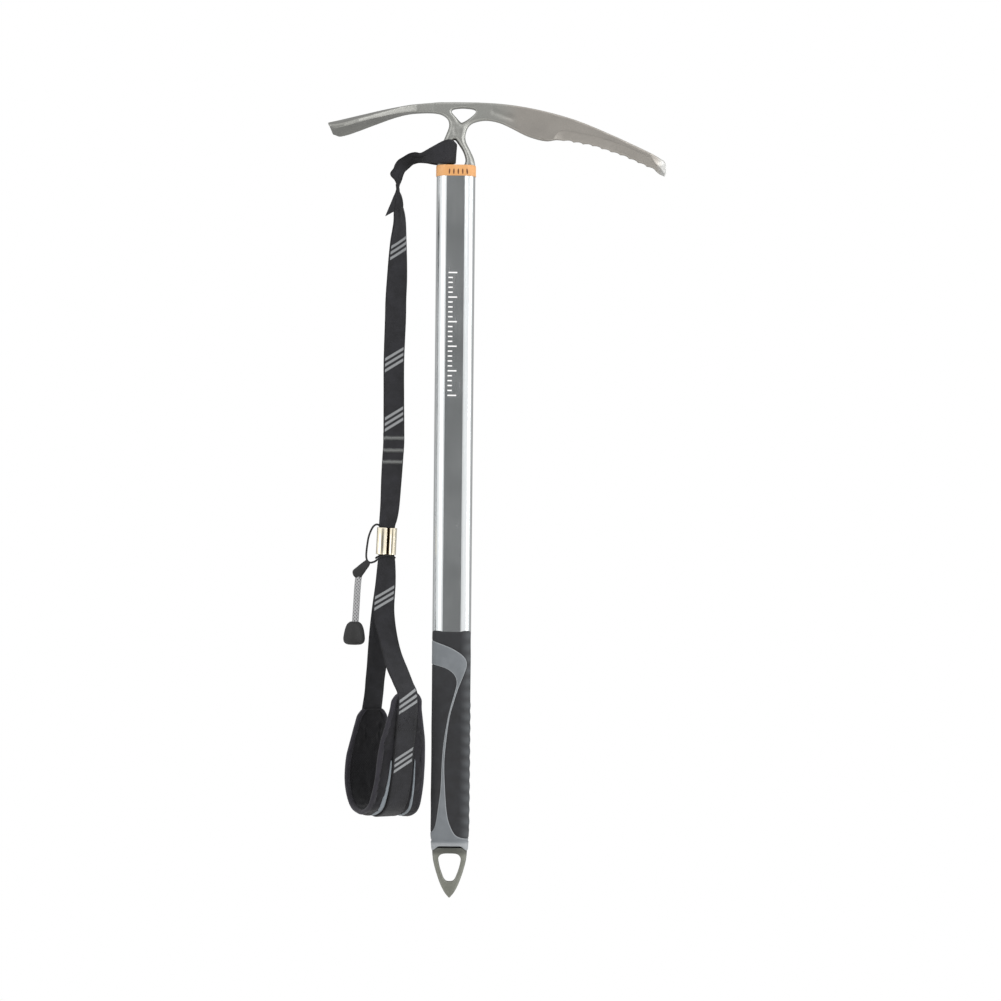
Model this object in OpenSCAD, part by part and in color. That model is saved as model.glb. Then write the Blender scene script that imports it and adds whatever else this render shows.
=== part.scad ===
// Walking ice axe with a wrist leash, in millimetres.
// +Z runs up the shaft, +X points along the pick and the axe is seen from -Y.
// The origin is the centre of the carry hole in the head.

/* [Axe] */
// Length from the point of the spike to the top of the head
axe_length = 650; // [550:10:750]
// Width of the shaft, seen from the front
shaft_width = 31.7; // [31:0.1:32.2]
// Depth of the shaft, front to back
shaft_depth = 20; // [19.5:0.1:21]
// Wall of the shaft tube
shaft_wall = 1.4; // [1.2:0.1:1.8]

/* [Head] */
// Thickness of the pick blade
pick_thickness = 4; // [3:0.5:5]
// Thickness of the bar around the carry hole
bar_thickness = 7.5; // [6:0.5:9]
// Thickness of the neck and of its two legs
neck_thickness = 9.5; // [8:0.5:10]
// Width of the adze at its edge
adze_width = 56; // [48:1:64]
// Thickness of the adze blade
adze_thickness = 3.5; // [2.5:0.5:4]
// Number of teeth under the pick
teeth = 10; // [6:1:14]
// Depth of each scallop between two teeth
tooth_depth = 1.2; // [0.6:0.1:1.6]

/* [Grip and spike] */
// Length of the rubber grip
grip_length = 177; // [170:1:180]
// Width of the grip
grip_width = 32.2; // [31.8:0.1:33]
// Depth of the grip, front to back
grip_depth = 20.8; // [20.4:0.1:21.6]
// Number of finger ridges on the grip
ridges = 11; // [6:1:12]
// Length of the spike below the grip
spike_length = 41.5; // [40:0.5:44]
// Height of the collar under the head
collar_height = 9; // [8:0.5:10]

/* [Leash] */
// Width of the webbing
webbing_width = 18; // [16:0.5:20]
// Thickness of one layer of webbing
webbing = 1.6; // [1.2:0.1:1.8]
// Width of the padded wrist cuff at its widest
cuff_width = 43.5; // [40:0.5:46]
// Thickness of the foam in the cuff
foam = 3.6; // [3:0.2:4]
// Width of the slider on the leash
slider_width = 16.4; // [16:0.2:18]
// Height of the slider
slider_height = 22; // [18:1:26]
// Diameter of the thin cord on the slider
cord_d = 1.6; // [1.2:0.1:2]

/* [Hidden] */

$fn = 48;
steel = [0.6, 0.59, 0.57];
silver = [0.72, 0.73, 0.74];
orange = [0.88, 0.58, 0.28];
black_rubber = [0.2, 0.2, 0.21];
grey_rubber = [0.48, 0.5, 0.51];
black_webbing = [0.14, 0.14, 0.15];
thread_grey = [0.48, 0.49, 0.49];
brass_gold = [0.8, 0.76, 0.62];

// The shaft's axis stands behind the carry hole's centre, seen from the pick.
shaft_x = -5.5;
top_above_hole = 9.8;
tip_z = top_above_hole - axe_length;
through = 80;

// Shaft, from its corner radius to the heights of its ends
shaft_corner = 8.1;
collar_top = -42;
collar_plate = 1;
collar_skirt = 0.4;
spigot = 0.2;
shaft_top = collar_top - collar_plate;
grip_wall = 1.8;
grip_corner = 8.4;
overlay_depth = 0.8;
neck_wall = 1.6;
shoulder_height = 3;
shaft_bottom = spike_length + 2.5;
grip_top = spike_length + grip_length;

// Head outline, going clockwise from the adze's edge
head_top = [[-109, -7], [-84, -1], [-55, 5.8], [-26, 9.2], [0, 9.8], [33, 8.5], [62, 4],
    [92, -4], [122, -16], [151, -29.2], [161, -34.4]];
pick_point = [[164.6, -36.4], [166, -39], [166.3, -46.5], [165, -49.4], [160.5, -47.4]];
teeth_line = [[157.5, -44.6], [144, -38.6], [131, -33], [107, -25.2], [82.5, -20.8]];
pick_root = [[82.5, -20.8], [76, -20], [67, -20.9], [53, -17.3], [38, -10], [28, -6],
    [18, -4.8], [9, -6.7], [4.4, -10], [2.4, -14.5], [1.8, -19], [2.8, -23.5],
    [5.6, -29], [8.7, -35.7], [10.2, -42]];
left_leg = [[-21.2, -42], [-20.3, -35.7], [-18, -28.5], [-15.8, -21.4], [-13.2, -15],
    [-11.5, -9.5], [-12.6, -4.4], [-16.5, -1], [-22, 0.8], [-30, 1.6], [-50, -0.9],
    [-75, -10.2], [-94, -17.4], [-103, -19.8]];
carry_hole = [[-9.6, 2.6], [-7.5, 4.2], [0, 5], [8, 4.2], [10.4, 2.6], [9, 0], [4, -4],
    [-0.6, -6.6], [-2.2, -6.4], [-6, -2.4], [-9, 0.8]];
leash_eye = [[-7, -20.9], [-5.2, -22.4], [-1, -28.6], [1.2, -33.4], [2.1, -38], [1, -41.4],
    [-1, -42.2], [-10, -42.2], [-12.4, -41.2], [-13.2, -38], [-12.6, -32], [-10.8, -27],
    [-8.8, -22.4]];
bar_from = -34;
bar_to = 46;
neck_top = -7;
tang_length = 24;
tang_slot = 5.5;
rivet_r = 2;
rivet_drop = 4.5;

// Adze stations: where along X, how wide as a share of adze_width, and how thick
adze_stations = [[-109, 0.96, 1], [-106, 1, 1], [-96, 0.97, 1], [-84, 0.88, 1.05],
    [-72, 0.7, 1.15], [-60, 0.48, 1.35], [-48, 0.29, 1.7], [-38, 0.18, 1.95],
    [-30, 0.12, 2.05]];

// Leash: the pinch where it swings, the run through the slider and the cuff's plan
pinch = [-53, 0, -61];
neck_r = 1.7;
slide_mid = [-59.5, 0, -349.3];
slide_lean = 2.3;
gather_top = -309.5;
gather_bottom = -424;
gather_width = 12;
gather_depth = 4.4;
bore_width = 14.6;
bore_depth = 6.6;
layer_y = 0.95;
cuff_x = -59.5;
cuff_yaw = 28;
cuff_skin = 0.7;

// Webbing stations: [x, y, z, width, turn of the width away from X]
loop_front = [[-35, -1.3, -36.2, 8.5], [-30, -3.6, -35, 11.5], [-24, -5.9, -33.6, 14.5],
    [-18, -6.5, -32.2, 16.5], [-12, -6.3, -32, 15], [-8, -4.6, -33.6, 12],
    [-6.8, 0, -34, 11]];
knot_route = [[-35.6, 0, -36.2, 8, 5], [-39.5, 0, -36.2, 10.5, 7], [-44, 0, -37.8, 12, 8],
    [-48.6, 0, -42, 12.5, 8], [-51.8, 0, -47.6, 12, 7.5], [-52.8, 0, -53, 9, 6.5],
    [-53, 0, -58.4, 5, 4.5]];
tail_stations = [[-53.6, -2.6, -65.2, 6, 60], [-54.6, -3, -69, 9, 40],
    [-56, -3.4, -74, 13, 15], [-57.5, -3.6, -80, 16, 5]];
upper_stations = [[-53, 0, -62.8, 4.5, 90], [-53.3, 0, -68, 7, 78], [-53.5, 0, -75, 10, 62],
    [-53, 0, -87, 14, 50], [-52.4, 0, -103, 17, 42], [-53, 0, -120, 18, 32],
    [-53.2, 0, -136, 18, 22], [-54, 0, -170, 18, 7], [-54.8, 0, -203, 18, 0],
    [-54.4, -0.4, -238, 18, 0], [-54.5, -layer_y, -262, 18, 0],
    [-56.2, -layer_y, -296, 17, 0], [-57.8, -layer_y, -309.2, 12.6, 0]];
return_stations = [[-54.5, layer_y, -260, 18, 0], [-55.4, layer_y, -282, 18, 0],
    [-56.2, layer_y, -296, 17, 0], [-57.8, layer_y, -309.2, 12.6, 0]];
front_stations = [[-62.5, -1.3, -424.3, 12.6, 0], [-61, -3.6, -430, 16, 2],
    [-57.6, -7.6, -437, 18, 6], [-52.8, -13, -446, 18, 12], [-48, -19, -456, 18, 20],
    [-45, -24.6, -466, 18, 26], [-44, -28.6, -474.6, 18, 28]];
back_stations = [[-62.5, 1.3, -424.3, 12.6, 0], [-63.6, 3.8, -430, 16, 2],
    [-65.4, 7.8, -439, 18, 10], [-67, 12, -450, 18, 18], [-68.6, 16, -465, 18, 25],
    [-70.3, 20, -484.4, 18, 28]];
tack_heights = [-265, -275, -284.5];

// Cuff centreline in its own plane, from the front shoulder round to the back one
cuff_line = [[33, -476], [31.4, -500], [29, -524], [26.6, -545], [19, -561], [8, -569.4],
    [-4, -570.8], [-16, -565], [-24.6, -550], [-27, -530], [-25.6, -508], [-23, -486]];
cuff_full_z = -535;
cuff_top_width = 21;
piping_top = -527;

// Cord routes
cord_route = [[-67.3, 0, -337.6], [-67.8, 0, -335.6], [-70.2, 0, -334.2], [-73, 0, -336.2],
    [-74.8, 0, -341], [-75.7, 0, -349], [-76.2, 0, -357], [-75.6, 0, -362.2],
    [-73.4, 0, -365.6], [-70.2, 0, -366.4], [-67.9, 0, -364.6], [-67.3, 0, -360.6]];
pull_pivot = [-76.6, 0, -366];
pull_knot_end = [-82.5, 0, -380];
pull_end = [-84, 0, -415];
pull_width = 5.4;
ball_d = 17.6;
ball_height = 18.8;

// A point on the Catmull-Rom curve between b and c, at t from 0 to 1
function curve_point(a, b, c, d, t) =
    0.5 * (2 * b + (c - a) * t + (2 * a - 5 * b + 4 * c - d) * t * t
        + (3 * b - a - 3 * c + d) * t * t * t);

// A smooth open curve through the points p, with n steps between each two
function smooth(p, n) = concat(
    [for (i = [0 : len(p) - 2], k = [0 : n - 1])
        curve_point(p[max(i - 1, 0)], p[i], p[i + 1], p[min(i + 2, len(p) - 1)], k / n)],
    [p[len(p) - 1]]);

// A smooth closed curve through the points p
function smooth_loop(p, n) =
    [for (i = [0 : len(p) - 1], k = [0 : n - 1])
        curve_point(p[(i + len(p) - 1) % len(p)], p[i], p[(i + 1) % len(p)],
            p[(i + 2) % len(p)], k / n)];

// The point a share t of the way along the curve p
function along(p, t) =
    let (s = t * (len(p) - 1), i = min(floor(s), len(p) - 2)) p[i] + (p[i + 1] - p[i]) * (s - i);

function unit(v) = v / norm(v);

// The direction of the route p at its point i
function heading(p, i) = unit(p[min(i + 1, len(p) - 1)] - p[max(i - 1, 0)]);

// The centre of a station
function place(s) = [s[0], s[1], s[2]];

// The height of a curve of [x, z] points at x, where x runs one way
function height_at(p, x) = lookup(x, p);

// A closed solid through rings of points, with flat ends made of strips across the ring
module skin(rings) {
    n = len(rings[0]);
    end = (len(rings) - 1) * n;
    points = [for (r = rings) each r];
    first = [for (j = [0 : n / 2 - 2])
        each [[j, j + 1, n - 2 - j], [j, n - 2 - j, n - 1 - j]]];
    last = [for (f = first) [end + f[2], end + f[1], end + f[0]]];
    sides = [for (i = [0 : len(rings) - 2], j = [0 : n - 1])
        let (a = i * n + j, b = i * n + (j + 1) % n)
        each [[a, a + n, b + n], [a, b + n, b]]];
    polyhedron(points, concat(first, sides, last));
}

// A flat band through stations of [x, y, z, width, turn], t thick
module ribbon(stations, t) {
    centres = [for (s = stations) place(s)];
    skin([for (i = [0 : len(stations) - 1])
        let (s = stations[i], across = [cos(s[4]), sin(s[4]), 0] * s[3] / 2,
            out = unit(cross(heading(centres, i), across)) * t / 2)
        [centres[i] + across + out, centres[i] - across + out,
            centres[i] - across - out, centres[i] + across - out]]);
}

// A round tube of diameter d along a route that lies in an XZ plane
module tube(route, d, sides) {
    skin([for (i = [0 : len(route) - 1])
        let (t = heading(route, i), side = cross([0, 1, 0], t))
        [for (k = [0 : sides - 1])
            route[i] + (side * cos(k * 360 / sides) + [0, 1, 0] * sin(k * 360 / sides)) * d / 2]]);
}

// A plate in the XZ plane, t thick and centred on Y
module plate(t) {
    rotate([90, 0, 0]) linear_extrude(t, center = true) children();
}

module rounded_rect(w, d, r) {
    square([w - 2 * r, d], center = true);
    square([w, d - 2 * r], center = true);
    for (x = [-1, 1], y = [-1, 1])
        translate([x * (w / 2 - r), y * (d / 2 - r)]) circle(r);
}

// The shaft's own section, grown or shrunk by an amount all round
module shaft_section(grow) {
    rounded_rect(shaft_width + 2 * grow, shaft_depth + 2 * grow, shaft_corner + grow);
}

module grip_section(grow) {
    rounded_rect(grip_width + 2 * grow, grip_depth + 2 * grow, grip_corner + grow);
}

// Something on the shaft's axis, with heights counted from the carry hole
module on_axis(z) {
    translate([shaft_x, 0, z]) children();
}

// Something on the shaft's axis, with heights counted from the spike's point
module from_tip(z) {
    translate([shaft_x, 0, tip_z + z]) children();
}

function scallop(t) = let (f = t * teeth - floor(t * teeth)) 4 * f * (1 - f);

// The toothed edge, each tooth left between two arched scallops
toothed_edge = [for (k = [0 : teeth * 4])
    along(teeth_line, k / teeth / 4) + [0, tooth_depth * scallop(k / teeth / 4)]];

module head_outline() {
    polygon(concat(smooth(head_top, 4), pick_point, toothed_edge, smooth(pick_root, 4),
        smooth(left_leg, 4)));
}

// The part of the head's outline from x = a to x = b and from z = low to z = high
module outline_between(a, b, low, high) {
    intersection() {
        head_outline();
        translate([a, low]) square([b - a, high - low]);
    }
}

module adze_blade() {
    top_line = smooth(head_top, 4);
    low_line = smooth([for (i = [len(left_leg) - 1 : -1 : 8]) left_leg[i]], 4);
    skin([for (s = adze_stations)
        let (t = adze_thickness * s[2], crest = height_at(top_line, s[0]),
            sag = crest - t - height_at(low_line, s[0]), half = adze_width * s[1] / 2)
        concat(
            [for (k = [5 : -1 : -5]) let (drop = sag * k * k / 25)
                [s[0] + 0.36 * drop, half * k / 5, crest - drop]],
            [for (k = [-5 : 5]) let (drop = sag * k * k / 25)
                [s[0] + 0.36 * (drop + t), half * k / 5, crest - drop - t]])]);
}

// One of the two legs that fill the sides of the tube's bore
module tang(side) {
    on_axis(collar_top - tang_length) linear_extrude(tang_length) intersection() {
        shaft_section(-shaft_wall);
        translate([side * (tang_slot + through / 2), 0]) square(through, center = true);
    }
}

module rivet_pair(r) {
    for (side = [-1, 1])
        on_axis(collar_top - rivet_drop) translate([side * 10, 0, 0])
            rotate([90, 0, 0]) cylinder(h = shaft_depth, r = r, center = true);
}

module head_casting() {
    color(steel) difference() {
        union() {
            plate(pick_thickness) outline_between(bar_to - 2, 200, -through, through);
            plate(bar_thickness) outline_between(bar_from, bar_to, -20, through);
            plate(neck_thickness) outline_between(-26, 14, collar_top, neck_top);
            adze_blade();
            tang(-1);
            tang(1);
        }
        plate(through) polygon(smooth_loop(carry_hole, 3));
        plate(through) polygon(smooth_loop(leash_eye, 3));
        rivet_pair(rivet_r);
    }
}

module shaft_tube() {
    low_top = tip_z + grip_top;
    color(silver) difference() {
        union() {
            on_axis(low_top) linear_extrude(shaft_top - low_top) difference() {
                shaft_section(-spigot);
                shaft_section(-shaft_wall);
            }
            on_axis(low_top) linear_extrude(collar_top - collar_height - low_top) difference() {
                shaft_section(0);
                shaft_section(-shaft_wall);
            }
            on_axis(low_top) linear_extrude(shoulder_height) difference() {
                shaft_section(0);
                grip_section(-grip_wall - neck_wall);
            }
            from_tip(shaft_bottom) linear_extrude(grip_top - shaft_bottom) difference() {
                grip_section(-grip_wall);
                grip_section(-grip_wall - neck_wall);
            }
        }
        rivet_pair(rivet_r);
        spike_rivet_shape();
    }
}

module shaft_collar() {
    color(orange) {
        on_axis(collar_top - collar_height) linear_extrude(collar_height - collar_plate)
            difference() {
                shaft_section(collar_skirt);
                shaft_section(-spigot);
            }
        difference() {
            on_axis(collar_top - collar_plate) linear_extrude(collar_plate)
                shaft_section(collar_skirt);
            tang(-1);
            tang(1);
        }
        for (k = [-2 : 2])
            on_axis(collar_top - 5.4)
                translate([k * 3.6 + 2, -shaft_depth / 2 - collar_skirt, 0])
                    cube([1.2, 0.5, 4.4], center = true);
    }
}

module head_rivets() {
    color(silver) intersection() {
        rivet_pair(rivet_r);
        on_axis(collar_top - collar_height) linear_extrude(collar_height) shaft_section(-spigot);
    }
}

// The S-shaped inlay of the grip, seen from the front, in heights above the spike's point
module overlay_outline() {
    right_edge = smooth([[-18, 211], [-9, 208], [0, 204.4], [8, 199.6], [12, 195],
        [12.8, 189.6], [10, 181.6], [6, 171.5], [2.4, 160], [-1, 147], [-3.6, 127],
        [-4.8, 110], [-4.1, 90], [-2.2, 69], [1.4, 57.4], [6.5, 51], [18, 48.4]], 3);
    left_edge = smooth([[-18, 51.5], [-12.4, 58], [-9.6, 74], [-7.6, 91], [-6.9, 110],
        [-5.6, 127], [-2.6, 146], [0.2, 158], [3.8, 171], [4.6, 177.5], [2, 183.4],
        [-5, 188.2], [-18, 191.5]], 3);
    polygon(concat(right_edge, [[18, spike_length], [-18, spike_length]], left_edge));
}

module overlay_shape() {
    difference() {
        intersection() {
            from_tip(0) plate(through) overlay_outline();
            from_tip(spike_length) linear_extrude(grip_length) grip_section(0);
        }
        from_tip(0) linear_extrude(grip_top) grip_section(-overlay_depth);
    }
}

module grip_sleeve() {
    ridge_pitch = 9.5;
    color(black_rubber) difference() {
        union() {
            from_tip(spike_length) linear_extrude(grip_length) grip_section(0);
            for (k = [0 : ridges - 1])
                from_tip(60 + k * ridge_pitch) linear_extrude(5) intersection() {
                    grip_section(0.7);
                    translate([through / 2 + 9, 0]) square(through, center = true);
                }
        }
        from_tip(0) linear_extrude(grip_top) grip_section(-grip_wall);
        overlay_shape();
    }
}

module grip_overlay() {
    color(grey_rubber) overlay_shape();
}

module spike_front() {
    right_side = smooth([[0.4, 0], [4.1, 4.6], [7.4, 11], [9.8, 17.4], [11.9, 24.2],
        [13.5, 31], [14.3, 38], [14.3, spike_length]], 3);
    polygon(concat(right_side, [for (i = [len(right_side) - 1 : -1 : 0])
        [-right_side[i][0], right_side[i][1]]]));
}

module spike_side() {
    half_depth = smooth([[0.5, 0], [2.2, 6], [2.8, 16], [3.2, 25], [5, 32], [8, 36.5],
        [8.6, 39], [8.6, spike_length]], 3);
    polygon(concat(half_depth, [for (i = [len(half_depth) - 1 : -1 : 0])
        [-half_depth[i][0], half_depth[i][1]]]));
}

module spike_hole() {
    polygon(smooth_loop([[0, 13.6], [1.8, 14.8], [5.4, 18.4], [7.4, 24], [8.3, 31],
        [7.8, 35], [5.5, 36.8], [0, 37.2], [-5.5, 36.8], [-7.8, 35], [-8.3, 31],
        [-7.4, 24], [-5.4, 18.4], [-1.8, 14.8]], 3));
}

module spike_rivet_shape() {
    from_tip(66) rotate([90, 0, 0])
        cylinder(h = grip_depth - 2 * grip_wall, r = 2.5, center = true);
}

module spike() {
    color(steel) difference() {
        union() {
            intersection() {
                from_tip(0) plate(through) spike_front();
                from_tip(0) rotate([0, 0, 90]) plate(through) spike_side();
            }
            from_tip(spike_length) linear_extrude(shaft_bottom - spike_length)
                grip_section(-grip_wall);
            from_tip(spike_length) linear_extrude(42) intersection() {
                grip_section(-grip_wall - neck_wall);
                square([through, 5], center = true);
            }
        }
        from_tip(0) plate(through) spike_hole();
        spike_rivet_shape();
    }
}

module spike_rivet() {
    color(silver) spike_rivet_shape();
}

// Webbing round the head's leg: in front of it, through the eye and back behind it
module hitch_loop() {
    back = [for (i = [len(loop_front) - 2 : -1 : 0])
        [loop_front[i][0], -loop_front[i][1], loop_front[i][2], loop_front[i][3]]];
    stations = concat(loop_front, back);
    centres = [for (s = stations) place(s)];
    color(black_webbing) skin([for (i = [0 : len(stations) - 1])
        let (t = heading(centres, i), out = unit([t[1], -t[0], 0]) * webbing / 2,
            up = [0, 0, stations[i][3] / 2])
        [centres[i] + up + out, centres[i] - up + out,
            centres[i] - up - out, centres[i] + up - out]]);
}

// A bundle with an oval section, through stations of [x, y, z, width, depth]
module bundle(stations, sides) {
    centres = [for (s = stations) place(s)];
    skin([for (i = [0 : len(stations) - 1])
        let (side = cross([0, 1, 0], heading(centres, i)))
        [for (k = [0 : sides - 1])
            centres[i] + side * cos(k * 360 / sides) * stations[i][3] / 2
                + [0, 1, 0] * sin(k * 360 / sides) * stations[i][4] / 2]]);
}

module leash_knot() {
    color(black_webbing) bundle(knot_route, 16);
}

module strap_neck() {
    color(black_webbing) translate(pinch) sphere(neck_r);
}

module leash_tail() {
    color(black_webbing) ribbon(tail_stations, 1.2);
}

module strap_upper() {
    color(black_webbing) ribbon(upper_stations, webbing);
}

module strap_return() {
    color(black_webbing) ribbon(return_stations, webbing);
}

module bar_tacks() {
    color(thread_grey) for (z = tack_heights)
        translate([-54.9 + (z + 275) * 0.02, -layer_y - webbing / 2 - 0.3, z])
            cube([webbing_width, 0.4, 3.6], center = true);
}

// Something in the slider's own frame, which leans with the strap
module on_slide() {
    translate(slide_mid) rotate([0, slide_lean, 0]) children();
}

module strap_gather() {
    below = (slide_mid[2] - gather_bottom) / cos(slide_lean);
    above = (gather_top - slide_mid[2]) / cos(slide_lean);
    color(black_webbing) on_slide() translate([0, 0, -below])
        linear_extrude(above + below) rounded_rect(gather_width, gather_depth, 1.2);
}

module strand_front() {
    color(black_webbing) ribbon(front_stations, webbing);
}

module strand_back() {
    color(black_webbing) ribbon(back_stations, webbing);
}

// Half the pad's width at height z: full below cuff_full_z, narrower at the shoulders
function pad_half(z) =
    let (f = max(0, min(1, (z - cuff_full_z) / (cuff_line[0][1] - cuff_full_z))))
    (cuff_width - (cuff_width - cuff_top_width) * f * f * (3 - 2 * f) * 0.95) / 2;

cuff_curve = smooth(cuff_line, 2);

// The point at index i of the cuff's curve, moved out by off and along its width by w
function cuff_point(i, off, w) =
    let (t = heading(cuff_curve, i), p = cuff_curve[i] + [-t[1], t[0]] * off)
    [cuff_x + p[0] * sin(cuff_yaw) + w * cos(cuff_yaw),
        -p[0] * cos(cuff_yaw) + w * sin(cuff_yaw), p[1]];

// A layer of the cuff from offset a to offset b, over spans of [index, low edge, high edge]
module cuff_layer(a, b, spans) {
    skin([for (s = spans)
        [cuff_point(s[0], a, s[1]), cuff_point(s[0], a, s[2]),
            cuff_point(s[0], b, s[2]), cuff_point(s[0], b, s[1])]]);
}

// Spans of the pad itself: [index, low edge, high edge], grown by g at both edges
function pad_spans(g) = [for (i = [0 : len(cuff_curve) - 1])
    let (h = pad_half(cuff_curve[i][1]) + g) [i, -h, h]];

module cuff_foam() {
    color(thread_grey) cuff_layer(-foam / 2, foam / 2, pad_spans(0));
}

module cuff_cover() {
    color(black_webbing) cuff_layer(foam / 2, foam / 2 + cuff_skin, pad_spans(0));
}

module cuff_lining() {
    color(black_webbing) cuff_layer(-foam / 2 - cuff_skin, -foam / 2, pad_spans(0));
}

module cuff_strap() {
    out = foam / 2 + cuff_skin;
    color(black_webbing) cuff_layer(out, out + webbing, [for (i = [0 : len(cuff_curve) - 1])
        [i, -webbing_width / 2, webbing_width / 2]]);
}

module cuff_piping() {
    out = foam / 2 + cuff_skin;
    low = [for (i = [0 : len(cuff_curve) - 1]) if (cuff_curve[i][1] < piping_top) i];
    color(thread_grey) for (side = [-1, 1])
        cuff_layer(out, out + 1.2, [for (i = low)
            [i, side * 11 - 1.2, side * 11 + 1.2]]);
}

module cuff_binding() {
    color(black_webbing) for (side = [-1, 1])
        cuff_layer(-foam / 2 - cuff_skin, foam / 2 + cuff_skin,
            [for (i = [0 : len(cuff_curve) - 1])
                let (h = pad_half(cuff_curve[i][1]))
                [i, side > 0 ? h : -h - 1.4, side > 0 ? h + 1.4 : -h]]);
}

module cuff_tacks() {
    out = foam / 2 + cuff_skin + webbing;
    last = len(cuff_curve) - 1;
    color(thread_grey) for (i = [1, last - 2])
        cuff_layer(out, out + 0.4, [for (k = [0, 1]) [i + k, -8, 8]]);
}

module slider_barrel() {
    lobe_r = 4.7;
    lobe_x = slider_width / 2 - lobe_r;
    color(brass_gold) on_slide() translate([0, 0, -slider_height / 2])
        linear_extrude(slider_height) difference() {
            union() {
                translate([-lobe_x, 0]) circle(lobe_r);
                translate([lobe_x, 0]) circle(lobe_r);
                square([2 * lobe_x, bore_depth + 1.8], center = true);
            }
            rounded_rect(bore_width, bore_depth, 2.6);
        }
}

module slider_cord() {
    color(black_rubber) tube(smooth(cord_route, 2), cord_d, 8);
}

// Something at the top of the pull's sleeve, leaning along it
module on_sleeve() {
    run = pull_knot_end - pull_pivot;
    translate(pull_pivot) rotate([0, atan2(run[0], run[2]), 0]) children();
}

module pull_sleeve() {
    reach = norm(pull_knot_end - pull_pivot);
    half = smooth([[1.6, 1], [3.6, 3.6], [4.4, 8], [3.8, 12], [2.9, reach]], 4);
    color(black_rubber) on_sleeve() rotate_extrude()
        polygon(concat([[0, 1]], half, [[0, reach]]));
}

module pull_cord() {
    start = pull_knot_end + [-0.2, 0, -1.6];
    color(thread_grey) tube([start, (start * 2 + pull_end) / 3,
        (start + pull_end * 2) / 3, pull_end], pull_width, 12);
}

module pull_ball() {
    r = ball_d / 2;
    h = ball_height;
    side = smooth([[2.6, 0], [5.6, -1.6], [7.6, -5.5], [r, -11.5], [8, -15.6], [5, -h]], 4);
    color(black_rubber) translate(pull_end + [0, 0, -0.1]) rotate_extrude()
        polygon(concat([[0, 0]], side, [[0, -h]]));
}

head_casting();
shaft_tube();
shaft_collar();
head_rivets();
grip_sleeve();
grip_overlay();
spike();
spike_rivet();
hitch_loop();
leash_knot();
strap_neck();
leash_tail();
strap_upper();
strap_return();
bar_tacks();
strap_gather();
strand_front();
strand_back();
cuff_foam();
cuff_cover();
cuff_lining();
cuff_strap();
cuff_piping();
cuff_binding();
cuff_tacks();
slider_barrel();
slider_cord();
pull_sleeve();
pull_cord();
pull_ball();
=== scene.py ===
"""An ice axe with its wrist leash: the looks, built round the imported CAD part, in the same frame."""

import math

import bmesh
import bpy
import numpy as np
import openvdb as vdb
from mathutils import Matrix, Vector, geometry


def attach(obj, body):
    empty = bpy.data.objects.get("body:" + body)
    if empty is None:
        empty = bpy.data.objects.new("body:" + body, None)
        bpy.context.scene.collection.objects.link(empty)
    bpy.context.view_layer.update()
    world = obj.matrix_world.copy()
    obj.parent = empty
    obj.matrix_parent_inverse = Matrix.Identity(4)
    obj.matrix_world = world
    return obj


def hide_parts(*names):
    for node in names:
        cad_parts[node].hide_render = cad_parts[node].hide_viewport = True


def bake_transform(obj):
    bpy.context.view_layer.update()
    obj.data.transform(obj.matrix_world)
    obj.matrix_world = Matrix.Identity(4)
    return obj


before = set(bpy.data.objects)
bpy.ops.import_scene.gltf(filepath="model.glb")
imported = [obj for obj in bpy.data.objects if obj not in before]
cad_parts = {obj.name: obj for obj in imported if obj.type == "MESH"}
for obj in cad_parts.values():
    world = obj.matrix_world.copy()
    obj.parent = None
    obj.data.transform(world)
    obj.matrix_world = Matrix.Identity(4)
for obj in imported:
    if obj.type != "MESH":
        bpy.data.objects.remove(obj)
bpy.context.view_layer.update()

# millimetres in the part's own frame; heights on the grip and the spike count up from the tip
MM = 0.001
SHAFT_X = -5.5
TIP_Z = -640.2
COLLAR_TOP = -42.0
GRIP_FOOT = 38.2
GRIP_HEIGHT = 218.5
GRIP_TOP = TIP_Z + GRIP_HEIGHT
RIDGE_START = 62.5
RIDGE_PITCH = 9.5
WELD = 0.002
TAPE = 1.5
TAPE_WIDTH = 18.0


# ---------------------------------------------------------------- curves and fields

def smooth(points, n):
    """A Catmull-Rom curve through points, with n steps between each two. Every column is carried along."""
    p = np.asarray(points, float)
    out, t = [], (np.arange(n) / n)[:, None]
    for i in range(len(p) - 1):
        a, b, c, d = p[max(i - 1, 0)], p[i], p[i + 1], p[min(i + 2, len(p) - 1)]
        out.append(0.5 * (2 * b + (c - a) * t + (2 * a - 5 * b + 4 * c - d) * t * t
                          + (3 * b - a - 3 * c + d) * t ** 3))
    return np.concatenate(out + [p[-1:]])


def smooth_loop(points, n):
    """The same for a closed curve."""
    p = np.asarray(points, float)
    return smooth(np.concatenate([p[-1:], p, p[:2]]), n)[n:-n - 1]


def lengths(p):
    """How far along the polyline p each of its points is."""
    return np.concatenate([[0], np.cumsum(np.linalg.norm(np.diff(p, axis=0), axis=1))])


def evenly(rows, centres, step):
    """The rows of a curve at even steps along its centres."""
    s = lengths(centres)
    at = np.linspace(0, s[-1], max(3, int(round(s[-1] / step)) + 1))
    return np.stack([np.interp(at, s, rows[:, k]) for k in range(rows.shape[1])], 1)


def turn(n):
    """n even angles round a circle."""
    return np.arange(n) * 2 * math.pi / n


def unit(v):
    return v / np.maximum(np.linalg.norm(v, axis=-1, keepdims=True), 1e-9)


def ease(x, a, b):
    """0 before a, 1 after b, and smooth between them."""
    t = np.clip((x - a) / (b - a), 0, 1)
    return t * t * (3 - 2 * t)


def noise1(x, seed, size):
    """Smooth noise from -1 to 1 along x, with bumps about size long."""
    g = np.random.default_rng(seed).uniform(-1, 1, 4096)
    s = np.asarray(x, float) / size + 100.0
    i = np.floor(s).astype(int)
    t = s - i
    t = t * t * (3 - 2 * t)
    return g[i % 4096] * (1 - t) + g[(i + 1) % 4096] * t


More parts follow.
